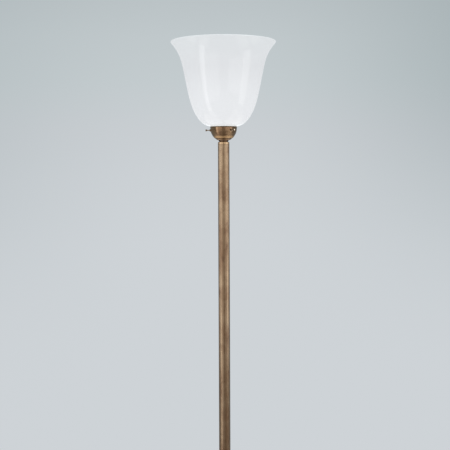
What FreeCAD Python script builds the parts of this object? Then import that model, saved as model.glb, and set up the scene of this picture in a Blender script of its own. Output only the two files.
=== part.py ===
"""Torchiere floor lamp: an opal glass bell in a brass gallery on a two-piece brass pole and a weighted foot.

Millimetres, +Z up. The origin is the centre of the foot on the floor.
Every height is stacked up from the floor, and each piece is written to parts/NAME.step.
"""

import FreeCAD, Part
import math
import os
from FreeCAD import Vector

# ---- clearances
SLIP_GAP = 0.05  # radial gap of a spigot, thread or bush in its bore
SEAT_GAP = 0.3  # gap where glass rests against metal
PIVOT_GAP = 0.15  # gap between a screw's tip and the glass that it holds
CLEAR_GAP = 0.3  # radial gap of a fastener in a plain hole
COLLAR_GAP = 0.15  # radial gap of the foot's collar round the pole

# ---- M10 x 1 threaded tubes, drawn at their outside diameter
TUBE_THREAD_RADIUS = 5.0
TUBE_BORE_RADIUS = 4.0
THREAD_HOLE_RADIUS = TUBE_THREAD_RADIUS + SLIP_GAP
CLEAR_HOLE_RADIUS = TUBE_THREAD_RADIUS + CLEAR_GAP

# ---- pole
POLE_RADIUS = 14.0
POLE_WALL = 1.0
POLE_SECTION_LENGTH = 758.3
SPIGOT_LENGTH = 20.0
SPIGOT_RADIUS = POLE_RADIUS - POLE_WALL - SLIP_GAP
JOINT_STUB_RADIUS = POLE_RADIUS - POLE_WALL - 5.0
JOINT_STUB_LENGTH = 14.0
JOINT_BEVEL = 0.35
CAP_RIM_HEIGHT = 5.5
CAP_ROUNDING = 3.2
CAP_NECK_HEIGHT = 1.2
CAP_NECK_RADIUS = POLE_RADIUS - 3.6
RING_RADIUS = POLE_RADIUS - 2.0
RING_HEIGHT = 3.0
RING_ROUNDING = 0.9
CAP_EASING = 0.2  # bevel where the cap meets the tube
PLUG_BEVEL = 0.8
STUB_BEVEL = 1.0
NIPPLE_DEPTH = 10.0  # how far the threaded tube reaches into the pole's cap
NIPPLE_PROUD = 1.0  # and out of the lampholder's neck

# ---- foot
FOOT_RADIUS = 142.5
FOOT_RIM_HEIGHT = 17.0
FOOT_HEIGHT = 34.0
FOOT_WALL = 1.2
FOOT_LIFT = 1.2  # the cover's edge above the floor
STEP_WIDTH = 15.0
STEP_RISE = 5.0
LEDGE_RISE = 1.5
EDGE_ROUNDING = 3.5
STEP_ROUNDING = 2.0
DOME_RADIUS = 62.0
DOME_DROP = 3.5
DOME_ROUNDING = 30.0
PLATEAU_ROUNDING = 6.0
INNER_ROUNDING_SHARE = 0.8  # of the outer line's roundings, on the sheet's inside
PAD_THICKNESS = 2.5
PAD_INSET = 9.0
WEIGHT_THICKNESS = 14.0
WEIGHT_GAP = 5.0
HUB_EDGE = 6.0  # how far the weight's hub stays inside the cover's flat middle
HUB_SLOPE = 9.0
HUB_ROUNDING = 6.0
WEIGHT_FOOT_ROUNDING = 1.5
WEIGHT_ROUNDING = 4.0
WEIGHT_EDGE_DROP = 3.0  # the weight's edge under the cover's rim
NUT_WELL_RADIUS = 16.0
NUT_WELL_DEPTH = 15.0
COLLAR_WIDTH = 12.0
COLLAR_HEIGHT = 13.0
COLLAR_EASING = 0.4
PLATEAU_RADIUS = POLE_RADIUS + COLLAR_WIDTH + 2.0

# ---- cable entry in the foot's rim
ENTRY_BORE_RADIUS = 3.6
ENTRY_BARREL_RADIUS = 4.75
ENTRY_FLANGE_RADIUS = 6.0
ENTRY_FLANGE_THICKNESS = 1.5
ENTRY_LIP_RADIUS = 5.5
ENTRY_LIP_LENGTH = 2.0
ENTRY_HEIGHT = 8.6
ENTRY_SLOT_WIDTH = 13.0
ENTRY_LIP_LAND = 0.6  # full-width part of the lip
ENTRY_ROUNDINGS = (0.5, 0.3, 0.2, 0.8, 0.7)

# ---- foot fasteners
BASE_WASHER_RADIUS = 12.0
BASE_WASHER_THICKNESS = 2.0
TOOTH_WASHER_RADIUS = 9.0
TOOTH_WASHER_THICKNESS = 0.8
TOOTH_COUNT = 16
NUT_ACROSS_FLATS = 14.0
BASE_NUT_HEIGHT = 4.5
STUD_PROUD = 0.6  # stud below the nut
STUD_SHORT = 4.0  # stud's end below the plug's top
TOOTH_DEPTH = 1.5
NUT_BEVEL_SHARE = 0.8

# ---- terminal block on the weight
BLOCK_POLES = 3
BLOCK_PITCH = 8.0
BLOCK_LENGTH = 17.0
BLOCK_HEIGHT = 11.0
BLOCK_START = 66.0  # its near face's distance from the pole's axis
BLOCK_GAP = 1.0
CLAMP_RADIUS = 2.6
CLAMP_SCREW_RADIUS = 1.5
CLAMP_WALL = 0.9
CLAMP_INSET = 1.5  # the clamps' ends inside the block
CLAMP_HEIGHT = 4.4  # above the block's underside
CLAMP_SCREW_LENGTH = 3.0
CLAMP_SCREW_HEAD = 1.2
CLAMP_SCREW_RISE = 1.6
CLAMP_ENTRY = 2.0  # how far the wires reach into the block
CLAMP_ROWS = (0.27, 0.73)  # shares of the block's length
TOWER_DROP = 2.0
TOWER_HEIGHT = 3.0
TOWER_GAP = 0.5
SCREW_WELL_GAP = 0.4
SLOT_HALF_WIDTH = 0.3
SLOT_DEPTH = 0.7
POCKET_GAP = 1.0
LIVE_CLAMP, NEUTRAL_CLAMP, EARTH_CLAMP = range(BLOCK_POLES)
WIRE_HOLE_START = 45.0
WIRE_HOLE_LENGTH = 14.0
WIRE_CHANNEL_WIDTH = 10.0
EARTH_SCREW_OFFSET = 24.0
EARTH_SCREW_LENGTH = 7.0
EARTH_SCREW_HEAD_RADIUS = 3.0
EARTH_SCREW_HEAD_HEIGHT = 2.0
EARTH_HOLE_DEPTH = 8.0
TAG_THICKNESS = 1.0
TAG_RADIUS = 3.4
TAG_WIRE_HEIGHT = 1.9
TAG_BARREL_START = 3.0
TAG_BARREL_LENGTH = 5.0
TAG_BORE_START = 4.0

# ---- wires
WIRE_RADIUS = 1.1
WIRE_SPACING = 2.8
WIRE_BEND = 3.5
WIRE_HEADROOM = 2.0  # free height over the wires under the weight
WIRE_HOLE_SHARE = 0.42  # where along the hole the wires pass
WIRE_SPREAD_HEIGHT = 3.4  # over the lampholder's neck, where the wires part
WIRE_SPREAD_RISE = 3.0
WIRE_LEAD_IN = 4.0
EARTH_TURN = 6.0  # the earth lead's turn before the block

# ---- lampholder, E27
HOLDER_RADIUS = 19.75
HOLDER_WALL = 2.0
HOLDER_NECK_RADIUS = 7.6
HOLDER_NECK_HEIGHT = 8.0
HOLDER_CAP_HEIGHT = 25.0
HOLDER_SLEEVE_HEIGHT = 35.0
HOLDER_GAP = 3.25  # between the lampholder and the glass neck
HOLDER_NECK_ROUNDING = 0.6
HOLDER_NECK_FILLET = 1.0
HOLDER_EDGE = 0.3
HOLDER_COUNTERSINK = 1.0
HOLDER_COUNTERSINK_DEPTH = 0.6
SLEEVE_WALL = HOLDER_WALL + 0.4
SLEEVE_GAP = 0.1  # between the lampholder's two halves
SLEEVE_STEP = 2.2  # in from the sleeve's outside to its top ring
SLEEVE_TOP_ROUNDING = 0.8
GRIP_GROOVE = 0.8
GRIP_COUNT = 6
GRIP_ROUNDING = 0.2
INSERT_THICKNESS = 6.0
TERMINAL_OFFSET = 9.0
TERMINAL_DROP = 9.0
SHELL_BORE_RADIUS = 13.4
SHELL_WALL = 0.4
SHELL_LENGTH = 23.0
SHELL_GAP = 0.9  # between the screw shell and the sleeve's lip
SHELL_HOLE_EDGE = 2.2  # from the terminals' axis to the edge of the shell's hole
SHELL_BEND = 0.3
INSERT_RISE = 2.0  # the insert's top over the lampholder's split
INSERT_GAP = 0.7
INSERT_ROUNDINGS = (1.0, 0.6)
TERMINAL_HOLE_RADIUS = 1.35
TERMINAL_STEM_RADIUS = 1.2
TERMINAL_WIDTH = 5.2
TERMINAL_DEPTH = 6.0
TERMINAL_RECESS = 0.6
CONTACT_RISE = 2.2  # the bulb's contact over the insert
CONTACT_GAP = 0.05

# ---- glass shade
GLASS_WALL = 3.5
NECK_RADIUS = HOLDER_RADIUS + HOLDER_GAP + GLASS_WALL
FLANGE_RADIUS = NECK_RADIUS + 2.8
FLANGE_HEIGHT = 3.0
RIM_RADIUS = 127.5
BELL_HEIGHT = 204.0
NECK_TURN = 5.0  # outer radius of the turn from neck to bell
NECK_TURN_END = 12.0  # degrees above level at which the turn ends
LIP_GAP = 0.6  # glass over the gallery's lip
RIM_SLOPE = 50.0  # degrees above level at the rim
# The bell's outer line: share of the way from the turn's end to the rim, outwards and upwards.
BELL_LINE = [
    (0.170, 0.027),
    (0.310, 0.089),
    (0.431, 0.185),
    (0.561, 0.376),
    (0.684, 0.663),
    (0.799, 0.855),
    (0.918, 0.951),
]

# ---- gallery
CUP_WALL = 1.0
CUP_RADIUS = FLANGE_RADIUS + 2.2 + CUP_WALL
CUP_FLAT_RADIUS = 14.7
CUP_STRAIGHT = 4.0
LIP_BEAD = 0.9
CUP_MIDDLE_SLOPE = -28  # degrees below level at the middle of its round wall
LOCK_WASHER_RADIUS = 9.5
LOCK_WASHER_THICKNESS = 1.0
LOCK_NUT_HEIGHT = 3.0

# ---- thumb screws, M3
SCREW_COUNT = 3
FIRST_SCREW_ANGLE = -53.0
SCREW_ABOVE_FLANGE = 2.6
SCREW_THREAD_RADIUS = 1.5
SCREW_THREAD_LENGTH = 7.0
SCREW_NECK_RADIUS = 1.15
SCREW_NECK_LENGTH = 5.6
SCREW_HEAD_RADIUS = 2.4
SCREW_HEAD_LENGTH = 3.4
KNURL_COUNT = 16
KNURL_RADIUS = 0.22
SCREW_BEVEL = 0.2
NECK_TAPER = 0.4  # length of the taper from thread to neck
HEAD_BEVEL = 0.5
HEAD_CROWN_DROP = 0.7
HEAD_CROWN_RADIUS = 0.6
HEAD_CROWN_ROUNDING = 2.0
KNURL_START = 0.4
TIP_RADIUS = 1.3
TIP_LENGTH = 1.8
BUSH_RADIUS = 2.5
BUSH_FLANGE_RADIUS = 3.1
BUSH_PROUD = 1.6
BUSH_INSIDE = 0.6
BUSH_STEP = 0.5  # flange beyond the shank's end
BUSH_LIFT = 0.02  # flange off the cup's round wall

# ---- bulb, A60 on an E27 cap
BULB_RADIUS = 30.0
BULB_GLASS_WALL = 0.8
BULB_NECK_RADIUS = 12.6
BULB_HEIGHT = 80.0  # glass above the cap
CAP_THREAD_RADIUS = 13.1
CAP_ROOT_RADIUS = 12.2
CAP_SHEET = 0.35
CAP_PITCH = 3.63
CAP_TURNS = 5
CAP_SKIRT_HEIGHT = 4.0
CONTACT_RADIUS = 4.8
CONTACT_HEIGHT = 1.2
INSULATOR_HEIGHT = 4.0
STEM_HEIGHT = 30.0
STEM_RADIUS = 4.0
FILAMENT_COUNT = 4
FILAMENT_LENGTH = 32.0
FILAMENT_RADIUS = 1.0
LEAD_RADIUS = 0.4
CAP_CREST_SHARE = 0.4  # of the pitch, up to the crest
CAP_BULGE_SHARE = 0.8  # of the pitch, the rounded part
CAP_SKIRT_FLARE = 1.0
INSULATOR_FLANGE = 1.0
INSULATOR_EDGE = 0.8
GLASS_START = 1.6  # the glass's edge over the cap's thread
STEM_START = 2.0
STEM_FLARE_GAP = 0.1
BULB_NECK_HEIGHT = 5.0
BULB_TOUCH_ANGLE = -42  # degrees above level where cone meets ball
BULB_CONE_SLOPE = 48
CROWN_ANGLE = 45
CROWN_MIDDLE_ANGLE = 70
FILAMENT_GAP = 1.5
FILAMENT_FOOT_SPREAD = 11.0
FILAMENT_TOP_SPREAD = 5.0

# ---- heights, from the floor up
WEIGHT_BOTTOM = PAD_THICKNESS
WEIGHT_TOP = WEIGHT_BOTTOM + WEIGHT_THICKNESS
WELL_TOP = WEIGHT_BOTTOM + NUT_WELL_DEPTH
FOOT_UNDERSIDE = FOOT_HEIGHT - FOOT_WALL
POLE_BOTTOM = FOOT_HEIGHT
JOINT_HEIGHT = POLE_BOTTOM + POLE_SECTION_LENGTH
POLE_TOP = JOINT_HEIGHT + POLE_SECTION_LENGTH
RING_BOTTOM = POLE_TOP + CAP_RIM_HEIGHT + CAP_NECK_HEIGHT
CUP_BOTTOM = RING_BOTTOM + RING_HEIGHT
CUP_CENTRE = CUP_BOTTOM + math.sqrt(CUP_RADIUS**2 - CUP_FLAT_RADIUS**2)
LIP_TOP = CUP_CENTRE + CUP_STRAIGHT
CUP_FLOOR = CUP_BOTTOM + CUP_WALL
LOCK_NUT_TOP = CUP_FLOOR + LOCK_WASHER_THICKNESS + LOCK_NUT_HEIGHT
HOLDER_BOTTOM = LOCK_NUT_TOP
HOLDER_SPLIT = HOLDER_BOTTOM + HOLDER_CAP_HEIGHT
HOLDER_TOP = HOLDER_SPLIT + HOLDER_SLEEVE_HEIGHT
INSERT_TOP = HOLDER_SPLIT + INSERT_RISE
CONTACT_BOTTOM = INSERT_TOP + CONTACT_RISE
FLANGE_BOTTOM = CUP_CENTRE - math.sqrt((CUP_RADIUS - CUP_WALL) ** 2 - (FLANGE_RADIUS + SEAT_GAP) ** 2)
FLANGE_TOP = FLANGE_BOTTOM + FLANGE_HEIGHT
SCREW_HEIGHT = FLANGE_TOP + SCREW_ABOVE_FLANGE
STUD_BOTTOM = WELL_TOP - BASE_WASHER_THICKNESS - TOOTH_WASHER_THICKNESS - BASE_NUT_HEIGHT - STUD_PROUD
CHANNEL_HEIGHT = (WEIGHT_BOTTOM + STUD_BOTTOM) / 2  # of the wires under the weight


# ---- helpers
def rounded_wire(corners):
    """A closed wire in the XZ plane through (radius, height, rounding) corners."""
    bends = []
    for i, (r, z, rounding) in enumerate(corners):
        here = Vector(r, 0, z)
        before = Vector(corners[i - 1][0], 0, corners[i - 1][1]) - here
        following = corners[(i + 1) % len(corners)]
        after = Vector(following[0], 0, following[1]) - here
        if not rounding:
            bends.append((here, None, here))
            continue
        half = before.getAngle(after) / 2
        reach = min(rounding / math.tan(half), 0.45 * min(before.Length, after.Length))
        before.normalize()
        after.normalize()
        radius = reach * math.tan(half)
        inward = (before + after).normalize()
        middle = here + inward * (radius / math.sin(half) - radius)
        bends.append((here + before * reach, middle, here + after * reach))
    edges = []
    for i, (start, middle, end) in enumerate(bends):
        if middle:
            edges.append(Part.Arc(start, middle, end).toShape())
        edges.append(Part.LineSegment(end, bends[(i + 1) % len(bends)][0]).toShape())
    return Part.Wire(edges)


def lathe(wire):
    """A solid turned about Z from a closed XZ wire."""
    return Part.Face(wire).revolve(Vector(0, 0, 0), Vector(0, 0, 1), 360)


def turned(corners):
    """A solid turned about Z from (radius, height, rounding) corners."""
    return lathe(rounded_wire(corners))


def disc(radius, low, high):
    """A plain disc between two heights."""
    return Part.makeCylinder(radius, high - low, Vector(0, 0, low))


def ring(outer, inner, low, high):
    """A plain ring between two heights."""
    return disc(outer, low, high).cut(disc(inner, low - 1, high + 1))


def block(x, y, z):
    """A box from (low, high) pairs."""
    corner = Vector(x[0], y[0], z[0])
    return Part.makeBox(x[1] - x[0], y[1] - y[0], z[1] - z[0], corner)


def hexagon(across_flats, low, high):
    """A hexagonal prism about Z."""
    radius = across_flats / math.sqrt(3)
    points = [
        Vector(radius * math.cos(math.radians(60 * k)), radius * math.sin(math.radians(60 * k)), low)
        for k in range(7)
    ]
    return Part.Face(Part.makePolygon(points)).extrude(Vector(0, 0, high - low))


def nut(across_flats, low, high):
    """A hexagon nut on the threaded tube, with its corners turned off at both ends."""
    corner = across_flats / math.sqrt(3)
    bevel = NUT_BEVEL_SHARE * (corner - across_flats / 2)
    outline = turned(
        [
            (0, low, 0),
            (corner - bevel, low, 0),
            (corner, low + bevel, 0),
            (corner, high - bevel, 0),
            (corner - bevel, high, 0),
            (0, high, 0),
        ]
    )
    body = hexagon(across_flats, low, high).common(outline)
    return body.cut(disc(THREAD_HOLE_RADIUS, low - 1, high + 1))


def toothed_washer(radius, low, high):
    """A lock washer with cut teeth round its edge."""
    washer = ring(radius, CLEAR_HOLE_RADIUS, low, high)
    width = math.pi * radius / TOOTH_COUNT
    notch = block((radius - TOOTH_DEPTH, radius + 1), (-width / 2, width / 2), (low - 1, high + 1))
    for k in range(TOOTH_COUNT):
        washer = washer.cut(turned_to(notch, 360.0 * k / TOOTH_COUNT))
    return washer


def turned_to(shape, angle, height=0.0):
    """A copy of a shape turned about Z and raised."""
    copy = shape.copy()
    copy.rotate(Vector(0, 0, 0), Vector(0, 0, 1), angle)
    copy.translate(Vector(0, 0, height))
    return copy


def rod(radius, start, end):
    """A round rod along +X from start to end, on the X axis."""
    return Part.makeCylinder(radius, end - start, Vector(start, 0, 0), Vector(1, 0, 0))


def wire_along(points, radius, bend):
    """A round wire along straight runs joined by tangent arcs."""
    edges = []
    at = points[0]
    for i in range(1, len(points) - 1):
        here = points[i]
        before = points[i - 1] - here
        after = points[i + 1] - here
        half = before.getAngle(after) / 2
        reach = min(bend / math.tan(half), 0.45 * min(before.Length, after.Length))
        before.normalize()
        after.normalize()
        inward = (before + after).normalize()
        start = here + before * reach
        end = here + after * reach
        middle = here + inward * (reach / math.cos(half) - reach * math.tan(half))
        edges.append(Part.LineSegment(at, start).toShape())
        edges.append(Part.Arc(start, middle, end).toShape())
        at = end
    edges.append(Part.LineSegment(at, points[-1]).toShape())
    path = Part.Wire(edges)
    section = Part.Wire(Part.makeCircle(radius, points[0], points[1] - points[0]))
    tube = path.makePipeShell([section], True, False)
    expected = math.pi * radius**2 * path.Length
    print(f"wire: length {path.Length:.1f} mm, volume over section times length {tube.Volume / expected:.4f}")
    return tube


def sloping(degrees):
    """A unit vector in the XZ plane at an angle above level."""
    return Vector(math.cos(math.radians(degrees)), 0, math.sin(math.radians(degrees)))


def smooth_line(points, first_way, last_way):
    """A spline through points with its direction given at both ends."""
    line = Part.BSplineCurve()
    line.interpolate(Points=points, InitialTangent=first_way, FinalTangent=last_way, Scale=False)
    return line


def cup_inner_radius(height):
    """Inner radius of the gallery's round wall at a height below its centre."""
    return math.sqrt((CUP_RADIUS - CUP_WALL) ** 2 - (CUP_CENTRE - height) ** 2)


def screw_angles():
    """Directions of the thumb screws about the pole, in degrees from +X."""
    return [FIRST_SCREW_ANGLE + 360.0 * k / SCREW_COUNT for k in range(SCREW_COUNT)]


# ---- foot
def foot_corners():
    """The cover's outer line, from its edge to its middle."""
    step = FOOT_RADIUS - STEP_WIDTH
    ledge = FOOT_RIM_HEIGHT + LEDGE_RISE
    return [
        (FOOT_RADIUS, FOOT_RIM_HEIGHT, EDGE_ROUNDING),
        (step, ledge, STEP_ROUNDING),
        (step - STEP_RISE, ledge + STEP_RISE, EDGE_ROUNDING),
        (DOME_RADIUS, FOOT_HEIGHT - DOME_DROP, DOME_ROUNDING),
        (PLATEAU_RADIUS, FOOT_HEIGHT, PLATEAU_ROUNDING),
    ]


def cover_underside(radius):
    """Height of the cover's underside on its slope, between the step and the dome's knee."""
    _, _, (outer, low, _), (inner, high, _), _ = foot_corners()
    share = (outer - radius) / (outer - inner)
    return low + (high - low) * share - FOOT_WALL


def foot_cover():
    """Spun brass cover of the foot."""
    outer = foot_corners()
    solid = turned(
        [(0, FOOT_LIFT, 0), (FOOT_RADIUS, FOOT_LIFT, 0), *outer, (0, FOOT_HEIGHT, 0)]
    )
    share = INNER_ROUNDING_SHARE
    inner = [(r - FOOT_WALL, z - FOOT_WALL, rounding * share) for r, z, rounding in outer]
    hollow = turned(
        [
            (0, FOOT_LIFT - 1, 0),
            (FOOT_RADIUS - FOOT_WALL, FOOT_LIFT - 1, 0),
            *inner,
            (0, FOOT_UNDERSIDE, 0),
        ]
    )
    shell = solid.cut(hollow)
    shell = shell.cut(disc(CLEAR_HOLE_RADIUS, FOOT_UNDERSIDE - 1, FOOT_HEIGHT + 1))
    hole = rod(ENTRY_BARREL_RADIUS + SLIP_GAP, FOOT_RADIUS - 10, FOOT_RADIUS + 10)
    return shell.cut(turned_to(hole, 90, ENTRY_HEIGHT))


def block_top():
    """Height of the terminal block's top, just under the cover."""
    return cover_underside(BLOCK_START + BLOCK_LENGTH) - BLOCK_GAP


def foot_weight():
    """Cast iron weight with a hub up to the cover, a nut well, wire ways and the terminal block's pocket."""
    radius = FOOT_RADIUS - FOOT_WALL - WEIGHT_GAP
    hub = PLATEAU_RADIUS - HUB_EDGE
    body = turned(
        [
            (0, WEIGHT_BOTTOM, 0),
            (radius, WEIGHT_BOTTOM, WEIGHT_FOOT_ROUNDING),
            (radius, min(WEIGHT_TOP, FOOT_RIM_HEIGHT - WEIGHT_EDGE_DROP), WEIGHT_ROUNDING),
            (radius - STEP_WIDTH, WEIGHT_TOP, WEIGHT_ROUNDING),
            (hub + HUB_SLOPE, WEIGHT_TOP, HUB_ROUNDING),
            (hub, FOOT_UNDERSIDE, 0),
            (0, FOOT_UNDERSIDE, 0),
        ]
    )
    body = body.cut(disc(CLEAR_HOLE_RADIUS, 0, FOOT_HEIGHT))
    body = body.cut(disc(NUT_WELL_RADIUS, 0, WELL_TOP))
    half = WIRE_CHANNEL_WIDTH / 2
    channel_roof = CHANNEL_HEIGHT + WIRE_RADIUS + WIRE_HEADROOM
    hole_end = WIRE_HOLE_START + WIRE_HOLE_LENGTH
    body = body.cut(block((-half, half), (0, hole_end), (0, channel_roof)))
    body = body.cut(block((-half, half), (WIRE_HOLE_START, hole_end), (0, FOOT_HEIGHT)))
    pocket_half = BLOCK_PITCH * BLOCK_POLES / 2 + POCKET_GAP
    pocket_floor = block_top() - BLOCK_HEIGHT
    pocket_end = BLOCK_START + BLOCK_LENGTH + POCKET_GAP
    pocket = block((-pocket_half, pocket_half), (hole_end - 1, pocket_end), (pocket_floor, FOOT_HEIGHT))
    body = body.cut(pocket)
    slot_half = ENTRY_SLOT_WIDTH / 2
    slot = block((-slot_half, slot_half), (pocket_end - 1, FOOT_RADIUS), (0, FOOT_HEIGHT))
    body = body.cut(slot)
    earth_hole = disc(CLAMP_SCREW_RADIUS + SLIP_GAP, WEIGHT_TOP - EARTH_HOLE_DEPTH, WEIGHT_TOP + 1)
    return body.cut(earth_hole.translated(earth_screw_at()))


def earth_screw_at():
    """Where the earth screw stands on the weight."""
    return Vector(EARTH_SCREW_OFFSET, BLOCK_START + BLOCK_LENGTH / 2, 0)


def foot_pad():
    """Felt disc under the weight."""
    return disc(FOOT_RADIUS - PAD_INSET, 0, PAD_THICKNESS)


def foot_collar():
    """Turned collar round the pole's foot."""
    bore = POLE_RADIUS + COLLAR_GAP
    outer = POLE_RADIUS + COLLAR_WIDTH
    low, high = FOOT_HEIGHT, FOOT_HEIGHT + COLLAR_HEIGHT
    base_rim = (outer, low + 3.2, 1.4)
    base_step = (outer - 2.0, low + 3.6, 0.5)
    sweep_foot = (bore + 4.4, low + 5.6, 3.6)
    sweep_top = (bore + 2.9, high - 3.2, 0.5)
    bead_low = (bore + 3.9, high - 2.6, 0.8)
    bead_high = (bore + 3.7, high, 1.3)
    return turned(
        [
            (bore, low, 0),
            (outer, low, COLLAR_EASING),
            base_rim,
            base_step,
            sweep_foot,
            sweep_top,
            bead_low,
            bead_high,
            (bore, high, COLLAR_EASING),
        ]
    )


def foot_stud():
    """Threaded tube that clamps cover, weight and pole together."""
    return ring(TUBE_THREAD_RADIUS, TUBE_BORE_RADIUS, STUD_BOTTOM, POLE_BOTTOM + SPIGOT_LENGTH - STUD_SHORT)


def foot_washer():
    """Plain washer in the nut well."""
    return ring(BASE_WASHER_RADIUS, CLEAR_HOLE_RADIUS, WELL_TOP - BASE_WASHER_THICKNESS, WELL_TOP)


def foot_lock_washer():
    """Toothed washer on the foot's nut."""
    top = WELL_TOP - BASE_WASHER_THICKNESS
    return toothed_washer(TOOTH_WASHER_RADIUS, top - TOOTH_WASHER_THICKNESS, top)


def foot_nut():
    """Nut under the foot."""
    top = WELL_TOP - BASE_WASHER_THICKNESS - TOOTH_WASHER_THICKNESS
    return nut(NUT_ACROSS_FLATS, top - BASE_NUT_HEIGHT, top)


def cable_bush():
    """Snap-in bush in the foot's rim where the mains lead enters."""
    outside = FOOT_RADIUS + SLIP_GAP
    inside = math.sqrt((FOOT_RADIUS - FOOT_WALL) ** 2 - ENTRY_LIP_RADIUS**2) - SLIP_GAP
    bore_end, lip_nose, lip_edge, flange_edge, mouth = ENTRY_ROUNDINGS
    corners = [
        (ENTRY_BORE_RADIUS, inside - ENTRY_LIP_LENGTH, bore_end),
        (ENTRY_BARREL_RADIUS, inside - ENTRY_LIP_LENGTH, lip_nose),
        (ENTRY_LIP_RADIUS, inside - ENTRY_LIP_LAND, lip_edge),
        (ENTRY_LIP_RADIUS, inside, 0),
        (ENTRY_BARREL_RADIUS, inside, 0),
        (ENTRY_BARREL_RADIUS, outside, 0),
        (ENTRY_FLANGE_RADIUS, outside, 0),
        (ENTRY_FLANGE_RADIUS, outside + ENTRY_FLANGE_THICKNESS, flange_edge),
        (ENTRY_BORE_RADIUS, outside + ENTRY_FLANGE_THICKNESS, mouth),
    ]
    bush = turned(corners)
    bush.rotate(Vector(0, 0, 0), Vector(1, 0, 0), -90)
    return bush.translated(Vector(0, 0, ENTRY_HEIGHT))


# ---- terminal block and wires
def pole_at(k):
    """X of the block's k-th pole."""
    return (k - (BLOCK_POLES - 1) / 2) * BLOCK_PITCH


def clamp_height():
    """Height of the terminal block's wire clamps."""
    return block_top() - BLOCK_HEIGHT + CLAMP_HEIGHT


def terminal_block():
    """Insulating body of the terminal block."""
    half = BLOCK_PITCH * BLOCK_POLES / 2
    top = block_top()
    end = BLOCK_START + BLOCK_LENGTH
    body = block((-half, half), (BLOCK_START, end), (top - BLOCK_HEIGHT, top - TOWER_DROP))
    for k in range(BLOCK_POLES):
        tower_foot = Vector(pole_at(k), 0, top - TOWER_HEIGHT)
        tower = Part.makeCylinder(BLOCK_PITCH / 2 - TOWER_GAP, TOWER_HEIGHT, tower_foot)
        for y in clamp_screws_at():
            body = body.fuse(tower.translated(Vector(0, y, 0)))
    for k in range(BLOCK_POLES):
        start = Vector(pole_at(k), BLOCK_START - 1, clamp_height())
        bore = Part.makeCylinder(CLAMP_RADIUS + SLIP_GAP, BLOCK_LENGTH + 2, start, Vector(0, 1, 0))
        body = body.cut(bore)
        foot = Vector(pole_at(k), 0, clamp_height())
        well = Part.makeCylinder(CLAMP_SCREW_RADIUS + SCREW_WELL_GAP, BLOCK_HEIGHT, foot)
        for y in clamp_screws_at():
            body = body.cut(well.translated(Vector(0, y, 0)))
    return body


def clamp_screws_at():
    """Distances of the two rows of clamp screws from the pole's axis."""
    return [BLOCK_START + BLOCK_LENGTH * share for share in CLAMP_ROWS]


def terminal_clamps():
    """Brass tubes inside the terminal block."""
    clamps = []
    start = BLOCK_START + CLAMP_INSET
    for k in range(BLOCK_POLES):
        base = Vector(pole_at(k), start, clamp_height())
        length = BLOCK_LENGTH - 2 * CLAMP_INSET
        tube = Part.makeCylinder(CLAMP_RADIUS, length, base, Vector(0, 1, 0))
        tube = tube.cut(Part.makeCylinder(CLAMP_RADIUS - CLAMP_WALL, length, base, Vector(0, 1, 0)))
        for y in clamp_screws_at():
            hole = Part.makeCylinder(CLAMP_SCREW_RADIUS + SLIP_GAP, 5, Vector(pole_at(k), y, clamp_height()))
            tube = tube.cut(hole)
        clamps.append(tube)
    return Part.makeCompound(clamps)


def slotted_screw(radius, length, head_radius, head_height):
    """A slotted screw standing on Z = 0, its shank below."""
    screw = disc(radius, -length, 0.01).fuse(disc(head_radius, 0, head_height))
    across = (-SLOT_HALF_WIDTH, SLOT_HALF_WIDTH)
    slot = block((-head_radius - 1, head_radius + 1), across, (head_height - SLOT_DEPTH, head_height + 1))
    return screw.cut(slot)


def terminal_screws():
    """Clamp screws of the terminal block."""
    screws = []
    for k in range(BLOCK_POLES):
        for y in clamp_screws_at():
            radius = CLAMP_SCREW_RADIUS
            screw = slotted_screw(radius, CLAMP_SCREW_LENGTH, radius, CLAMP_SCREW_HEAD)
            height = clamp_height() + CLAMP_RADIUS + CLAMP_SCREW_RISE
            screws.append(screw.translated(Vector(pole_at(k), y, height)))
    return Part.makeCompound(screws)


def earth_screw():
    """Screw that bonds the weight and the brasswork to earth."""
    screw = slotted_screw(
        CLAMP_SCREW_RADIUS, EARTH_SCREW_LENGTH, EARTH_SCREW_HEAD_RADIUS, EARTH_SCREW_HEAD_HEIGHT
    )
    return screw.translated(earth_screw_at() + Vector(0, 0, WEIGHT_TOP + TAG_THICKNESS))


def earth_tag():
    """Ring tag under the earth screw, with its crimp barrel."""
    tag = ring(TAG_RADIUS, CLAMP_SCREW_RADIUS + SLIP_GAP, 0, TAG_THICKNESS)
    back = Vector(0, -1, 0)
    barrel_start = Vector(0, -TAG_BARREL_START, TAG_WIRE_HEIGHT)
    bore_start = Vector(0, -TAG_BORE_START, TAG_WIRE_HEIGHT)
    barrel = Part.makeCylinder(TAG_WIRE_HEIGHT, TAG_BARREL_LENGTH, barrel_start, back)
    bore = Part.makeCylinder(WIRE_RADIUS + SLIP_GAP, TAG_BARREL_LENGTH, bore_start, back)
    return tag.fuse(barrel).cut(bore).translated(earth_screw_at() + Vector(0, 0, WEIGHT_TOP))


def earth_lead():
    """Short lead from the block's earth clamp to the tag on the weight."""
    barrel = earth_screw_at() + Vector(0, -TAG_BORE_START - 0.2, WEIGHT_TOP + TAG_WIRE_HEIGHT)
    clamp = Vector(pole_at(EARTH_CLAMP), BLOCK_START + CLAMP_ENTRY, clamp_height())
    turn = BLOCK_START - EARTH_TURN
    points = [
        clamp,
        Vector(clamp.x, turn + 2.0, clamp.z),
        Vector(clamp.x + 4.0, turn, barrel.z),
        Vector(barrel.x, turn, barrel.z),
        barrel,
    ]
    return wire_along(points, WIRE_RADIUS, WIRE_BEND)


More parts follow.
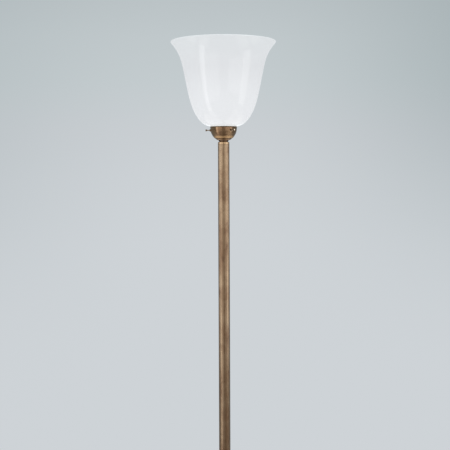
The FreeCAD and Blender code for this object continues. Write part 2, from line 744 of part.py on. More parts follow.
def pole_wire(side, clamp):
    """A conductor from one of the block's clamps down through the foot, up the pole and to the lampholder."""
    x = side * WIRE_SPACING / 2
    hole_middle = WIRE_HOLE_START + WIRE_HOLE_LENGTH * WIRE_HOLE_SHARE
    spread = HOLDER_BOTTOM + HOLDER_NECK_HEIGHT + WIRE_SPREAD_HEIGHT
    points = [
        Vector(pole_at(clamp), BLOCK_START + CLAMP_ENTRY, clamp_height()),
        Vector(pole_at(clamp), BLOCK_START - WIRE_LEAD_IN, clamp_height()),
        Vector(x, hole_middle, clamp_height() + 1.0),
        Vector(x, hole_middle, CHANNEL_HEIGHT),
        Vector(x, 0, CHANNEL_HEIGHT),
        Vector(x, 0, spread),
        Vector(side * TERMINAL_OFFSET, 0, spread + WIRE_SPREAD_RISE),
        Vector(side * TERMINAL_OFFSET, 0, HOLDER_SPLIT - TERMINAL_DROP + 2.0),
    ]
    return wire_along(points, WIRE_RADIUS, WIRE_BEND)


# ---- pole
def pole_tube(low, high):
    """A length of brass tube with its ends eased."""
    inner = POLE_RADIUS - POLE_WALL
    return turned(
        [
            (inner, low, 0),
            (POLE_RADIUS - JOINT_BEVEL, low, 0),
            (POLE_RADIUS, low + JOINT_BEVEL, 0),
            (POLE_RADIUS, high - JOINT_BEVEL, 0),
            (POLE_RADIUS - JOINT_BEVEL, high, 0),
            (inner, high, 0),
        ]
    )


def pole_foot_plug():
    """Threaded plug in the pole's lower end, on the foot's stud."""
    return ring(SPIGOT_RADIUS, THREAD_HOLE_RADIUS, POLE_BOTTOM, POLE_BOTTOM + SPIGOT_LENGTH)


def joint_lower_plug():
    """Plug in the lower tube's top, with the stub that the upper tube screws on."""
    body = disc(SPIGOT_RADIUS, JOINT_HEIGHT - SPIGOT_LENGTH, JOINT_HEIGHT)
    stub = turned(
        [
            (0, JOINT_HEIGHT - 1, 0),
            (JOINT_STUB_RADIUS, JOINT_HEIGHT - 1, 0),
            (JOINT_STUB_RADIUS, JOINT_HEIGHT + JOINT_STUB_LENGTH, STUB_BEVEL),
            (0, JOINT_HEIGHT + JOINT_STUB_LENGTH, 0),
        ]
    )
    bore = disc(TUBE_BORE_RADIUS, JOINT_HEIGHT - SPIGOT_LENGTH - 1, JOINT_HEIGHT + JOINT_STUB_LENGTH + 1)
    return body.fuse(stub).cut(bore)


def joint_upper_plug():
    """Threaded plug in the upper tube's lower end."""
    return ring(SPIGOT_RADIUS, JOINT_STUB_RADIUS + SLIP_GAP, JOINT_HEIGHT, JOINT_HEIGHT + SPIGOT_LENGTH)


def pole_cap():
    """Turned cap of the pole: a rounded shoulder, a short neck above it and a spigot in the tube."""
    shoulder = POLE_TOP + CAP_RIM_HEIGHT
    return turned(
        [
            (THREAD_HOLE_RADIUS, POLE_TOP - SPIGOT_LENGTH, 0),
            (SPIGOT_RADIUS, POLE_TOP - SPIGOT_LENGTH, PLUG_BEVEL),
            (SPIGOT_RADIUS, POLE_TOP, 0),
            (POLE_RADIUS - CAP_EASING, POLE_TOP, 0),
            (POLE_RADIUS, POLE_TOP + CAP_EASING, 0),
            (POLE_RADIUS, shoulder, CAP_ROUNDING),
            (CAP_NECK_RADIUS, shoulder, 0),
            (CAP_NECK_RADIUS, shoulder + CAP_NECK_HEIGHT, 0),
            (THREAD_HOLE_RADIUS, shoulder + CAP_NECK_HEIGHT, 0),
        ]
    )


def gallery_ring():
    """Turned ring between the pole's cap and the gallery."""
    return turned(
        [
            (CLEAR_HOLE_RADIUS, RING_BOTTOM, 0),
            (RING_RADIUS, RING_BOTTOM, RING_ROUNDING),
            (RING_RADIUS, CUP_BOTTOM, RING_ROUNDING),
            (CLEAR_HOLE_RADIUS, CUP_BOTTOM, 0),
        ]
    )


# ---- gallery
def gallery_cup():
    """Spun brass cup with a rolled lip that holds the glass."""
    inner = CUP_RADIUS - CUP_WALL
    inner_flat = math.sqrt(inner**2 - (CUP_CENTRE - CUP_FLOOR) ** 2)
    bead = LIP_TOP - LIP_BEAD
    centre = Vector(0, 0, CUP_CENTRE)
    outer_middle = centre + sloping(CUP_MIDDLE_SLOPE) * CUP_RADIUS
    inner_middle = centre + sloping(CUP_MIDDLE_SLOPE) * inner
    p = [
        Vector(CLEAR_HOLE_RADIUS, 0, CUP_BOTTOM),
        Vector(CUP_FLAT_RADIUS, 0, CUP_BOTTOM),
        Vector(CUP_RADIUS, 0, CUP_CENTRE),
        Vector(CUP_RADIUS, 0, bead - LIP_BEAD),
        Vector(CUP_RADIUS + LIP_BEAD, 0, bead),
        Vector(CUP_RADIUS, 0, LIP_TOP),
        Vector(inner, 0, LIP_TOP),
        Vector(inner, 0, CUP_CENTRE),
        Vector(inner_flat, 0, CUP_FLOOR),
        Vector(CLEAR_HOLE_RADIUS, 0, CUP_FLOOR),
    ]
    edges = [
        Part.LineSegment(p[0], p[1]),
        Part.Arc(p[1], outer_middle, p[2]),
        Part.LineSegment(p[2], p[3]),
        Part.Arc(p[3], p[4], p[5]),
        Part.LineSegment(p[5], p[6]),
        Part.LineSegment(p[6], p[7]),
        Part.Arc(p[7], inner_middle, p[8]),
        Part.LineSegment(p[8], p[9]),
        Part.LineSegment(p[9], p[0]),
    ]
    cup = lathe(Part.Wire([edge.toShape() for edge in edges]))
    for angle in screw_angles():
        hole = rod(BUSH_RADIUS + SLIP_GAP, 0, CUP_RADIUS + 5)
        cup = cup.cut(turned_to(hole, angle, SCREW_HEIGHT))
    return cup


def gallery_bushes():
    """Threaded bushes riveted through the cup's wall for the thumb screws."""
    wall_inside = cup_inner_radius(SCREW_HEIGHT)
    wall_outside = math.sqrt(CUP_RADIUS**2 - (CUP_CENTRE - SCREW_HEIGHT) ** 2)
    ball = Part.makeSphere(CUP_RADIUS + BUSH_LIFT, Vector(0, 0, CUP_CENTRE - SCREW_HEIGHT))
    outer_end = wall_outside + BUSH_PROUD
    flange = rod(BUSH_FLANGE_RADIUS, wall_outside - 2, outer_end).cut(ball)
    shank = rod(BUSH_RADIUS, wall_inside - BUSH_INSIDE, outer_end - BUSH_STEP)
    bore = rod(SCREW_THREAD_RADIUS + SLIP_GAP, 0, outer_end + 1)
    bush = flange.fuse(shank).cut(bore)
    return Part.makeCompound([turned_to(bush, angle, SCREW_HEIGHT) for angle in screw_angles()])


def screw_start():
    """Distance of a thumb screw's inner end from the pole's axis, past its tip."""
    return NECK_RADIUS + PIVOT_GAP + TIP_LENGTH


def screw_tip():
    """Soft tip that presses on the glass neck, along +X."""
    return rod(TIP_RADIUS, NECK_RADIUS + PIVOT_GAP, screw_start())


def thumb_screw():
    """Thumb screw along +X: thread, slender neck and a knurled head."""
    neck_start = screw_start() + SCREW_THREAD_LENGTH
    head_start = neck_start + SCREW_NECK_LENGTH
    head_end = head_start + SCREW_HEAD_LENGTH
    profile = turned(
        [
            (0, screw_start(), 0),
            (SCREW_THREAD_RADIUS, screw_start(), SCREW_BEVEL),
            (SCREW_THREAD_RADIUS, neck_start, SCREW_BEVEL),
            (SCREW_NECK_RADIUS, neck_start + NECK_TAPER, 0),
            (SCREW_NECK_RADIUS, head_start, 0),
            (SCREW_HEAD_RADIUS - HEAD_BEVEL, head_start, 0),
            (SCREW_HEAD_RADIUS, head_start + HEAD_BEVEL, SCREW_BEVEL),
            (SCREW_HEAD_RADIUS, head_end - HEAD_CROWN_DROP, HEAD_CROWN_RADIUS),
            (HEAD_CROWN_RADIUS, head_end, HEAD_CROWN_ROUNDING),
            (0, head_end, 0),
        ]
    )
    groove_start = Vector(SCREW_HEAD_RADIUS + KNURL_RADIUS / 4, 0, head_start + KNURL_START)
    groove = Part.makeCylinder(KNURL_RADIUS, SCREW_HEAD_LENGTH, groove_start)
    for k in range(KNURL_COUNT):
        profile = profile.cut(turned_to(groove, 360.0 * k / KNURL_COUNT))
    profile.rotate(Vector(0, 0, 0), Vector(0, 1, 0), 90)
    return profile


def gallery_nipple():
    """Threaded tube from the pole's cap through the gallery to the lampholder."""
    top = HOLDER_BOTTOM + HOLDER_NECK_HEIGHT + NIPPLE_PROUD
    return ring(TUBE_THREAD_RADIUS, TUBE_BORE_RADIUS, POLE_TOP - NIPPLE_DEPTH, top)


def gallery_lock_washer():
    """Toothed washer in the cup."""
    return toothed_washer(LOCK_WASHER_RADIUS, CUP_FLOOR, CUP_FLOOR + LOCK_WASHER_THICKNESS)


def gallery_nut():
    """Nut that clamps the cup to the pole's cap."""
    return nut(NUT_ACROSS_FLATS, CUP_FLOOR + LOCK_WASHER_THICKNESS, LOCK_NUT_TOP)


# ---- lampholder
def holder_cap():
    """Lower half of the lampholder, screwed on the threaded tube."""
    neck_top = HOLDER_BOTTOM + HOLDER_NECK_HEIGHT
    wall = HOLDER_WALL
    floor = neck_top + wall
    side = HOLDER_RADIUS
    outer_shoulder = [(side - 3.5, neck_top + 3.0, 3.0), (side, neck_top + 9.5, 4.0)]
    inner_shoulder = [(side - wall, neck_top + 10.0, 3.0), (side - 4.3, neck_top + 5.0, 2.5)]
    return turned(
        [
            (THREAD_HOLE_RADIUS, HOLDER_BOTTOM, 0),
            (HOLDER_NECK_RADIUS, HOLDER_BOTTOM, HOLDER_NECK_ROUNDING),
            (HOLDER_NECK_RADIUS, neck_top, HOLDER_NECK_FILLET),
            *outer_shoulder,
            (HOLDER_RADIUS, HOLDER_SPLIT, HOLDER_EDGE),
            (HOLDER_RADIUS - wall, HOLDER_SPLIT, 0),
            *inner_shoulder,
            (THREAD_HOLE_RADIUS + HOLDER_COUNTERSINK, floor, 0),
            (THREAD_HOLE_RADIUS, floor - HOLDER_COUNTERSINK_DEPTH, 0),
        ]
    )


def holder_sleeve():
    """Upper half of the lampholder, with grip rings round its outside."""
    low, high = HOLDER_SPLIT + SLEEVE_GAP, HOLDER_TOP
    inside = HOLDER_RADIUS - SLEEVE_WALL
    outline = [(inside, low, 0), (HOLDER_RADIUS, low, HOLDER_EDGE)]
    ring_height = HOLDER_SLEEVE_HEIGHT / 10
    for k in range(1, GRIP_COUNT + 1):
        z = low + ring_height * k
        groove = [(0, 0), (GRIP_GROOVE, GRIP_GROOVE), (0, 2 * GRIP_GROOVE)]
        outline += [(HOLDER_RADIUS - depth, z + rise, GRIP_ROUNDING) for depth, rise in groove]
    lip = SHELL_BORE_RADIUS + SHELL_WALL + SHELL_GAP
    step = HOLDER_RADIUS - SLEEVE_STEP
    outline += [
        (HOLDER_RADIUS, high - 6.5, SLEEVE_TOP_ROUNDING),
        (step, high - 5.6, 0.6),
        (step, high, 0.9),
        (lip, high, SLEEVE_TOP_ROUNDING),
        (lip, high - 4.0, 0.4),
        (inside, high - 6.0, 0.4),
    ]
    return turned(outline)


def holder_insert():
    """Porcelain disc that carries the contacts."""
    radius = HOLDER_RADIUS - HOLDER_WALL - INSERT_GAP
    low = INSERT_TOP - INSERT_THICKNESS
    under, over = INSERT_ROUNDINGS
    body = turned([(0, low, 0), (radius, low, under), (radius, INSERT_TOP, over), (0, INSERT_TOP, 0)])
    for side in (-1, 1):
        screw_hole = disc(TERMINAL_HOLE_RADIUS, low - 1, INSERT_TOP + 1)
        body = body.cut(screw_hole.translated(Vector(side * TERMINAL_OFFSET, 0, 0)))
    return body


def holder_shell():
    """Screw shell that takes the bulb's cap."""
    low = INSERT_TOP
    outer = SHELL_BORE_RADIUS + SHELL_WALL
    hole = TERMINAL_OFFSET + SHELL_HOLE_EDGE
    return turned(
        [
            (hole, low, 0),
            (outer, low, SHELL_BEND),
            (outer, low + SHELL_LENGTH, 0),
            (SHELL_BORE_RADIUS, low + SHELL_LENGTH, 0),
            (SHELL_BORE_RADIUS, low + SHELL_WALL, 0),
            (hole, low + SHELL_WALL, 0),
        ]
    )


def holder_contact():
    """Springy centre contact: a riveted strip bowed up under the bulb's contact."""
    low = INSERT_TOP
    high = CONTACT_BOTTOM - CONTACT_GAP
    thickness = 0.4
    half_length = 6.4
    strip = [
        Vector(-half_length, 0, low),
        Vector(-3.6, 0, low),
        Vector(-1.8, 0, high - thickness),
        Vector(3.2, 0, high - thickness),
        Vector(4.0, 0, high - 1.0),
        Vector(4.0, 0, high - 0.5),
        Vector(3.4, 0, high),
        Vector(-2.0, 0, high),
        Vector(-3.9, 0, low + thickness),
        Vector(-half_length, 0, low + thickness),
    ]
    face = Part.Face(Part.makePolygon([*strip, strip[0]]))
    leaf = face.extrude(Vector(0, 4, 0)).translated(Vector(0, -2, 0))
    rivet = disc(1.1, low + thickness, low + thickness + 0.7).translated(Vector(-5.1, 0, 0))
    return leaf.fuse(rivet)


def holder_terminals():
    """Two wire clamps under the insert, each with its screw."""
    top = INSERT_TOP - INSERT_THICKNESS
    pieces = []
    for side in (-1, 1):
        x = side * TERMINAL_OFFSET
        bottom = HOLDER_SPLIT - TERMINAL_DROP
        across = (x - TERMINAL_WIDTH / 2, x + TERMINAL_WIDTH / 2)
        clamp = block(across, (-TERMINAL_DEPTH / 2, TERMINAL_DEPTH / 2), (bottom, top))
        clamp = clamp.cut(disc(WIRE_RADIUS + SLIP_GAP, bottom - 1, bottom + 3).translated(Vector(x, 0, 0)))
        stem = disc(TERMINAL_STEM_RADIUS, top - 0.01, INSERT_TOP - TERMINAL_RECESS)
        pieces.append(clamp.fuse(stem.translated(Vector(x, 0, 0))))
    return Part.makeCompound(pieces)


# ---- bulb
def cap_top():
    """Height of the top of the bulb cap's thread."""
    return CONTACT_BOTTOM + CONTACT_HEIGHT + INSULATOR_HEIGHT + CAP_PITCH * CAP_TURNS


def bulb_cap():
    """Rolled screw cap of the bulb, its thread drawn as rings."""
    low = CONTACT_BOTTOM + CONTACT_HEIGHT + INSULATOR_HEIGHT
    inner = CAP_ROOT_RADIUS - CAP_SHEET
    crest = CAP_THREAD_RADIUS
    edges = []
    at = Vector(CAP_ROOT_RADIUS, 0, low)
    for k in range(CAP_TURNS):
        z = low + CAP_PITCH * k
        bulge = Vector(CAP_ROOT_RADIUS, 0, z + CAP_PITCH * CAP_BULGE_SHARE)
        edges.append(Part.Arc(at, Vector(crest, 0, z + CAP_PITCH * CAP_CREST_SHARE), bulge).toShape())
        at = Vector(CAP_ROOT_RADIUS, 0, z + CAP_PITCH)
        edges.append(Part.LineSegment(bulge, at).toShape())
    skirt = cap_top() + CAP_SKIRT_HEIGHT
    line = [
        at,
        Vector(CAP_THREAD_RADIUS, 0, cap_top() + CAP_SKIRT_FLARE),
        Vector(CAP_THREAD_RADIUS, 0, skirt),
        Vector(CAP_THREAD_RADIUS - CAP_SHEET, 0, skirt),
        Vector(CAP_THREAD_RADIUS - CAP_SHEET, 0, cap_top() + 1.2),
        Vector(inner, 0, cap_top()),
        Vector(inner, 0, low),
        Vector(CAP_ROOT_RADIUS, 0, low),
    ]
    edges += [Part.LineSegment(a, b).toShape() for a, b in zip(line, line[1:])]
    return lathe(Part.Wire(edges))


def bulb_insulator():
    """Glass insulator between the bulb's cap and its contact."""
    low = CONTACT_BOTTOM + CONTACT_HEIGHT
    return turned(
        [
            (0, low, 0),
            (CONTACT_RADIUS + INSULATOR_FLANGE, low, INSULATOR_EDGE / 2),
            (CAP_ROOT_RADIUS, low + INSULATOR_HEIGHT - INSULATOR_EDGE, INSULATOR_EDGE / 2),
            (CAP_ROOT_RADIUS, low + INSULATOR_HEIGHT, 0),
            (0, low + INSULATOR_HEIGHT, 0),
        ]
    )


def bulb_contact():
    """Centre contact of the bulb."""
    low = CONTACT_BOTTOM
    high = low + CONTACT_HEIGHT
    return turned([(0, low, 0), (CONTACT_RADIUS, low, 0.9), (CONTACT_RADIUS, high, 0), (0, high, 0)])


def bulb_line(inset):
    """The bulb's glass outline, drawn in by an inset: neck, cone and ball."""
    low = cap_top() + GLASS_START
    top = cap_top() + CAP_SKIRT_HEIGHT + BULB_HEIGHT
    ball = BULB_RADIUS - inset
    middle = Vector(0, 0, top - BULB_RADIUS)
    touch = middle + sloping(BULB_TOUCH_ANGLE) * ball
    neck = BULB_NECK_RADIUS - inset
    neck_top = Vector(neck, 0, cap_top() + CAP_SKIRT_HEIGHT + BULB_NECK_HEIGHT)
    blend = smooth_line([neck_top, touch], sloping(90), sloping(BULB_CONE_SLOPE))
    crown_start = middle + sloping(CROWN_ANGLE) * ball
    side = Part.Arc(touch, middle + sloping(0) * ball, crown_start)
    crown_top = middle + sloping(90) * ball
    crown = Part.Arc(crown_start, middle + sloping(CROWN_MIDDLE_ANGLE) * ball, crown_top)
    start = Vector(neck, 0, low)
    return start, [Part.LineSegment(start, neck_top), blend, side, crown], crown_top


def bulb_glass():
    """Clear glass envelope."""
    solids = []
    for inset in (0.0, BULB_GLASS_WALL):
        start, curves, top = bulb_line(inset)
        foot = Vector(0, 0, start.z)
        closing = [Part.LineSegment(top, foot), Part.LineSegment(foot, start)]
        solids.append(lathe(Part.Wire([curve.toShape() for curve in [*curves, *closing]])))
    return solids[0].cut(solids[1])


def bulb_stem():
    """Glass stem: a flare sealed in the neck and a post."""
    low = cap_top() + STEM_START
    flare = BULB_NECK_RADIUS - BULB_GLASS_WALL - STEM_FLARE_GAP
    return turned(
        [
            (0, low, 0),
            (flare, low, 0.3),
            (flare, low + 1.6, 0.6),
            (STEM_RADIUS, low + 9.0, 6.0),
            (STEM_RADIUS, low + STEM_HEIGHT, 2.5),
            (0, low + STEM_HEIGHT, 0),
        ]
    )


def filament_ends(k):
    """Lower and upper end of the k-th filament."""
    angle = 2 * math.pi * (k + 0.5) / FILAMENT_COUNT
    low = cap_top() + STEM_START + STEM_HEIGHT + FILAMENT_GAP
    way = Vector(math.cos(angle), math.sin(angle), 0)
    start = way * FILAMENT_FOOT_SPREAD + Vector(0, 0, low)
    end = way * FILAMENT_TOP_SPREAD + Vector(0, 0, low + FILAMENT_LENGTH)
    return start, end


def bulb_filaments():
    """Slim glowing sticks round the stem."""
    sticks = []
    for k in range(FILAMENT_COUNT):
        start, end = filament_ends(k)
        sticks.append(Part.makeCylinder(FILAMENT_RADIUS, FILAMENT_LENGTH - 1, start, end - start))
    return Part.makeCompound(sticks)


def bulb_supports():
    """Wires that carry the filaments: one from the stem to each foot, and a crown that joins their tops."""
    low = cap_top() + STEM_START + STEM_HEIGHT
    crown_height = filament_ends(0)[1].z + 1.0
    post = disc(LEAD_RADIUS * 1.5, low + 0.05, crown_height)
    supports = post
    for k in range(FILAMENT_COUNT):
        start, end = filament_ends(k)
        foot = start + (start - end).normalize() * 0.1
        arm_from = Vector(0, 0, low + 0.6)
        arm = Part.makeCylinder(LEAD_RADIUS, (foot - arm_from).Length, arm_from, foot - arm_from)
        head = start + (end - start).normalize() * (FILAMENT_LENGTH - 0.9)
        crown_at = Vector(0, 0, crown_height - 0.5)
        crown = Part.makeCylinder(LEAD_RADIUS, (head - crown_at).Length, crown_at, head - crown_at)
        supports = supports.fuse(arm).fuse(crown)
    return supports.cut(bulb_filaments())


# ---- glass shade
def glass_shade():
    """Blown opal glass bell with a flanged neck, its outer line offset inwards by the wall."""
    turn_way = sloping(NECK_TURN_END)
    rim_way = sloping(RIM_SLOPE)
    to_turn_end = sloping(90 + NECK_TURN_END)
    over_lip = (CUP_RADIUS - NECK_RADIUS - NECK_TURN * (1 + to_turn_end.x)) * turn_way.z / turn_way.x
    turn_start = LIP_TOP + LIP_GAP - over_lip - NECK_TURN * to_turn_end.z
    centre = Vector(NECK_RADIUS + NECK_TURN, 0, turn_start)
    start = centre + to_turn_end * NECK_TURN
    rim = Vector(RIM_RADIUS, 0, LIP_TOP + BELL_HEIGHT)
    span = rim - start
    between = [start + Vector(span.x * out, 0, span.z * up) for out, up in BELL_LINE]
    points = [start, *between, rim]
    outer = smooth_line(points, turn_way, rim_way)
    ways = [outer.tangent(outer.parameter(point))[0] for point in points]
    inner_points = [point + Vector(-way.z, 0, way.x) * GLASS_WALL for point, way in zip(points, ways)]
    inner = smooth_line(inner_points[::-1], rim_way * -1, turn_way * -1)
    rim_middle = (rim + inner_points[-1]) * 0.5 + rim_way * (GLASS_WALL / 2)
    turn_middle = sloping((180 + 90 + NECK_TURN_END) / 2)
    neck_inner = NECK_RADIUS - GLASS_WALL
    corners = [
        Vector(neck_inner, 0, FLANGE_BOTTOM),
        Vector(FLANGE_RADIUS, 0, FLANGE_BOTTOM),
        Vector(FLANGE_RADIUS, 0, FLANGE_TOP),
        Vector(NECK_RADIUS, 0, FLANGE_TOP),
        Vector(NECK_RADIUS, 0, turn_start),
    ]
    inner_neck_top = Vector(neck_inner, 0, turn_start)
    edges = [Part.LineSegment(a, b) for a, b in zip(corners, corners[1:])]
    edges += [
        Part.Arc(corners[-1], centre + turn_middle * NECK_TURN, start),
        outer,
        Part.Arc(rim, rim_middle, inner_points[-1]),
        inner,
        Part.Arc(inner_points[0], centre + turn_middle * (NECK_TURN + GLASS_WALL), inner_neck_top),
        Part.LineSegment(inner_neck_top, corners[0]),
    ]
    return lathe(Part.Wire([edge.toShape() for edge in edges]))


# ---- every piece, by the name that it is known by
def pieces():
    """Yields each piece's name and shape."""
    yield "foot_pad", foot_pad()
    yield "foot_weight", foot_weight()
    yield "foot_cover", foot_cover()
    yield "foot_collar", foot_collar()
    yield "foot_stud", foot_stud()
    yield "foot_washer", foot_washer()
    yield "foot_lock_washer", foot_lock_washer()
    yield "foot_nut", foot_nut()
    yield "cable_bush", cable_bush()
    yield "terminal_block", terminal_block()
    yield "terminal_clamps", terminal_clamps()
    yield "terminal_screws", terminal_screws()
    yield "earth_screw", earth_screw()
    yield "earth_tag", earth_tag()
    yield "earth_lead", earth_lead()
    yield "live_wire", pole_wire(-1, LIVE_CLAMP)
    yield "neutral_wire", pole_wire(1, NEUTRAL_CLAMP)
    yield "pole_foot_plug", pole_foot_plug()
    yield "lower_pole", pole_tube(POLE_BOTTOM, JOINT_HEIGHT)
    yield "joint_lower_plug", joint_lower_plug()
    yield "joint_upper_plug", joint_upper_plug()
    yield "upper_pole", pole_tube(JOINT_HEIGHT, POLE_TOP)
    yield "pole_cap", pole_cap()
    yield "gallery_ring", gallery_ring()
    yield "gallery_cup", gallery_cup()
    yield "gallery_bushes", gallery_bushes()
    yield "gallery_nipple", gallery_nipple()
    yield "gallery_lock_washer", gallery_lock_washer()
    yield "gallery_nut", gallery_nut()
    for number, angle in enumerate(screw_angles(), 1):
        yield f"screw_tip_{number}", turned_to(screw_tip(), angle, SCREW_HEIGHT)
        yield f"thumb_screw_{number}", turned_to(thumb_screw(), angle, SCREW_HEIGHT)
    yield "holder_cap", holder_cap()
    yield "holder_sleeve", holder_sleeve()
    yield "holder_insert", holder_insert()
    yield "holder_shell", holder_shell()
    yield "holder_contact", holder_contact()
    yield "holder_terminals", holder_terminals()
    yield "bulb_contact", bulb_contact()
    yield "bulb_insulator", bulb_insulator()
    yield "bulb_cap", bulb_cap()
    yield "bulb_glass", bulb_glass()
    yield "bulb_stem", bulb_stem()
    yield "bulb_filaments", bulb_filaments()
    yield "bulb_supports", bulb_supports()
    yield "glass_shade", glass_shade()


os.makedirs("parts", exist_ok=True)
for name, shape in pieces():
    if not shape.isValid():
        raise ValueError(f"{name} is not a valid shape")
    shape.exportStep(f"parts/{name}.step")
print(f"gallery lip at {LIP_TOP:.2f}, screws at {SCREW_HEIGHT:.2f}, glass flange from {FLANGE_BOTTOM:.2f}")
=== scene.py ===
"""Looks, light and fine pieces of a torchiere floor lamp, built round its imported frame.

Lengths in fields are millimetres where a docstring doesn't say metres, and every mesh is made in metres. Each
sub-assembly is a class that shapes its own new pieces and dresses the frame's nodes, and each finish is a
small frozen dataclass.
"""

import logging
import math
from collections.abc import Callable, Iterator, Sequence
from contextlib import contextmanager
from dataclasses import dataclass
from enum import Enum
from typing import Any, Protocol, Union

import bpy
from mathutils import Matrix, Vector

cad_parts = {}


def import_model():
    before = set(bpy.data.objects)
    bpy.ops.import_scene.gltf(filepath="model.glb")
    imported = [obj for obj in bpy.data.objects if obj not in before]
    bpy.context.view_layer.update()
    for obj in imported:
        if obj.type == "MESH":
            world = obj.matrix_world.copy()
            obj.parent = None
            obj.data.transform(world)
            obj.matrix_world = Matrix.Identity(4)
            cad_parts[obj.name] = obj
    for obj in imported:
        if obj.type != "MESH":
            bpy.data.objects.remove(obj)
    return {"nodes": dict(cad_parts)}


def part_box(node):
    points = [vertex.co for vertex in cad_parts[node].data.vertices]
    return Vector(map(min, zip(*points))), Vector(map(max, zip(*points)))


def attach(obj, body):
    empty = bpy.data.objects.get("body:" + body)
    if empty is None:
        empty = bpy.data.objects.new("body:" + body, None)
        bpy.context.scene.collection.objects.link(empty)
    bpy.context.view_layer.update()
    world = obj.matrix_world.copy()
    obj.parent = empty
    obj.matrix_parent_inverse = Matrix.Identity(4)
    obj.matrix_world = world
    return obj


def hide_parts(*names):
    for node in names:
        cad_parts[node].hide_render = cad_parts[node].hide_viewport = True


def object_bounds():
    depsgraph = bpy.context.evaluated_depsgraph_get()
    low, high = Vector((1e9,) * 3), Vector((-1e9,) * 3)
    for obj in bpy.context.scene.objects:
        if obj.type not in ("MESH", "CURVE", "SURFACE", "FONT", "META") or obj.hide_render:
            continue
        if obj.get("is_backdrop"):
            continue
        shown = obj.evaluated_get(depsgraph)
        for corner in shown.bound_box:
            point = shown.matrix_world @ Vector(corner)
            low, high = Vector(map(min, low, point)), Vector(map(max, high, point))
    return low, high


LOG = logging.getLogger("torchiere")
MM = 0.001
FULL_TURN = 2 * math.pi
WELD = 0.000002
SCREWS = (1, 2, 3)

Colour = tuple[float, float, float]
Triple = tuple[float, float, float]
Profile = Sequence[tuple[float, float]]
Value = Union["Signal", float]


def srgb(red: int, green: int, blue: int) -> Colour:
    """A colour given as 0 to 255 display values, as linear light.

    Args:
        red: Display red.
        green: Display green.
        blue: Display blue.

    Returns:
        The three linear values.
    """
    shares = (red / 255, green / 255, blue / 255)
    return tuple(s / 12.92 if s <= 0.04045 else ((s + 0.055) / 1.055) ** 2.4 for s in shares)


# ---------------------------------------------------------------- shader maths


class Signal:
    """A node's output that Python arithmetic works on: each operator adds its Math node."""

    def __init__(self, recipe: "Recipe", socket: bpy.types.NodeSocket | None) -> None:
        """Wraps a socket of a recipe's tree."""
        self.recipe = recipe
        self.socket = socket

    def maths(self, operation: str, *values: Value) -> "Signal":
        """Feeds Math nodes.

        Args:
            operation: The Math node's operation.
            values: Its input values, in order.

        Returns:
            The node's result.
        """
        return self.recipe.node("ShaderNodeMath", {"operation": operation}, dict(enumerate(values)))

    def __add__(self, other: Value) -> "Signal":
        """Adds."""
        return self.maths("ADD", self, other)

    def __radd__(self, other: Value) -> "Signal":
        """Adds, with a number on the left."""
        return self.maths("ADD", other, self)

    def __sub__(self, other: Value) -> "Signal":
        """Subtracts."""
        return self.maths("SUBTRACT", self, other)

    def __rsub__(self, other: Value) -> "Signal":
        """Subtracts from a number on the left."""
        return self.maths("SUBTRACT", other, self)

    def __mul__(self, other: Value) -> "Signal":
        """Multiplies."""
        return self.maths("MULTIPLY", self, other)

    def __rmul__(self, other: Value) -> "Signal":
        """Multiplies, with a number on the left."""
        return self.maths("MULTIPLY", other, self)

    def __truediv__(self, other: Value) -> "Signal":
        """Divides."""
        return self.maths("DIVIDE", self, other)

    def __rtruediv__(self, other: Value) -> "Signal":
        """Divides a number on the left."""
        return self.maths("DIVIDE", other, self)

    def absolute(self) -> "Signal":
        """The value without its sign."""
        return self.maths("ABSOLUTE", self)

    def larger(self, other: Value) -> "Signal":
        """The larger of two values."""
        return self.maths("MAXIMUM", self, other)

    def rising(self, low: float, high: float) -> "Signal":
        """A smooth step.

        Args:
            low: Where the result is 0.
            high: Where the result is 1; below low for a falling step.

        Returns:
            A value from 0 to 1.
        """
        if low > high:
            return 1.0 - self.rising(high, low)
        inputs = {"Value": self, "From Min": low, "From Max": high}
        return self.recipe.node("ShaderNodeMapRange", {"interpolation_type": "SMOOTHSTEP"}, inputs)

    def between(self, low: float, high: float) -> "Signal":
        """Spreads 0 to 1 over a range.

        Args:
            low: The result at 0.
            high: The result at 1.

        Returns:
            The spread value.
        """
        return self * (high - low) + low


@dataclass(frozen=True)
class Place:
    """Where a shaded point is on its piece: coordinates in metres, and as a turner would say it."""

    point: Signal
    x: Signal
    y: Signal
    z: Signal
    radius: Signal
    angle: Signal


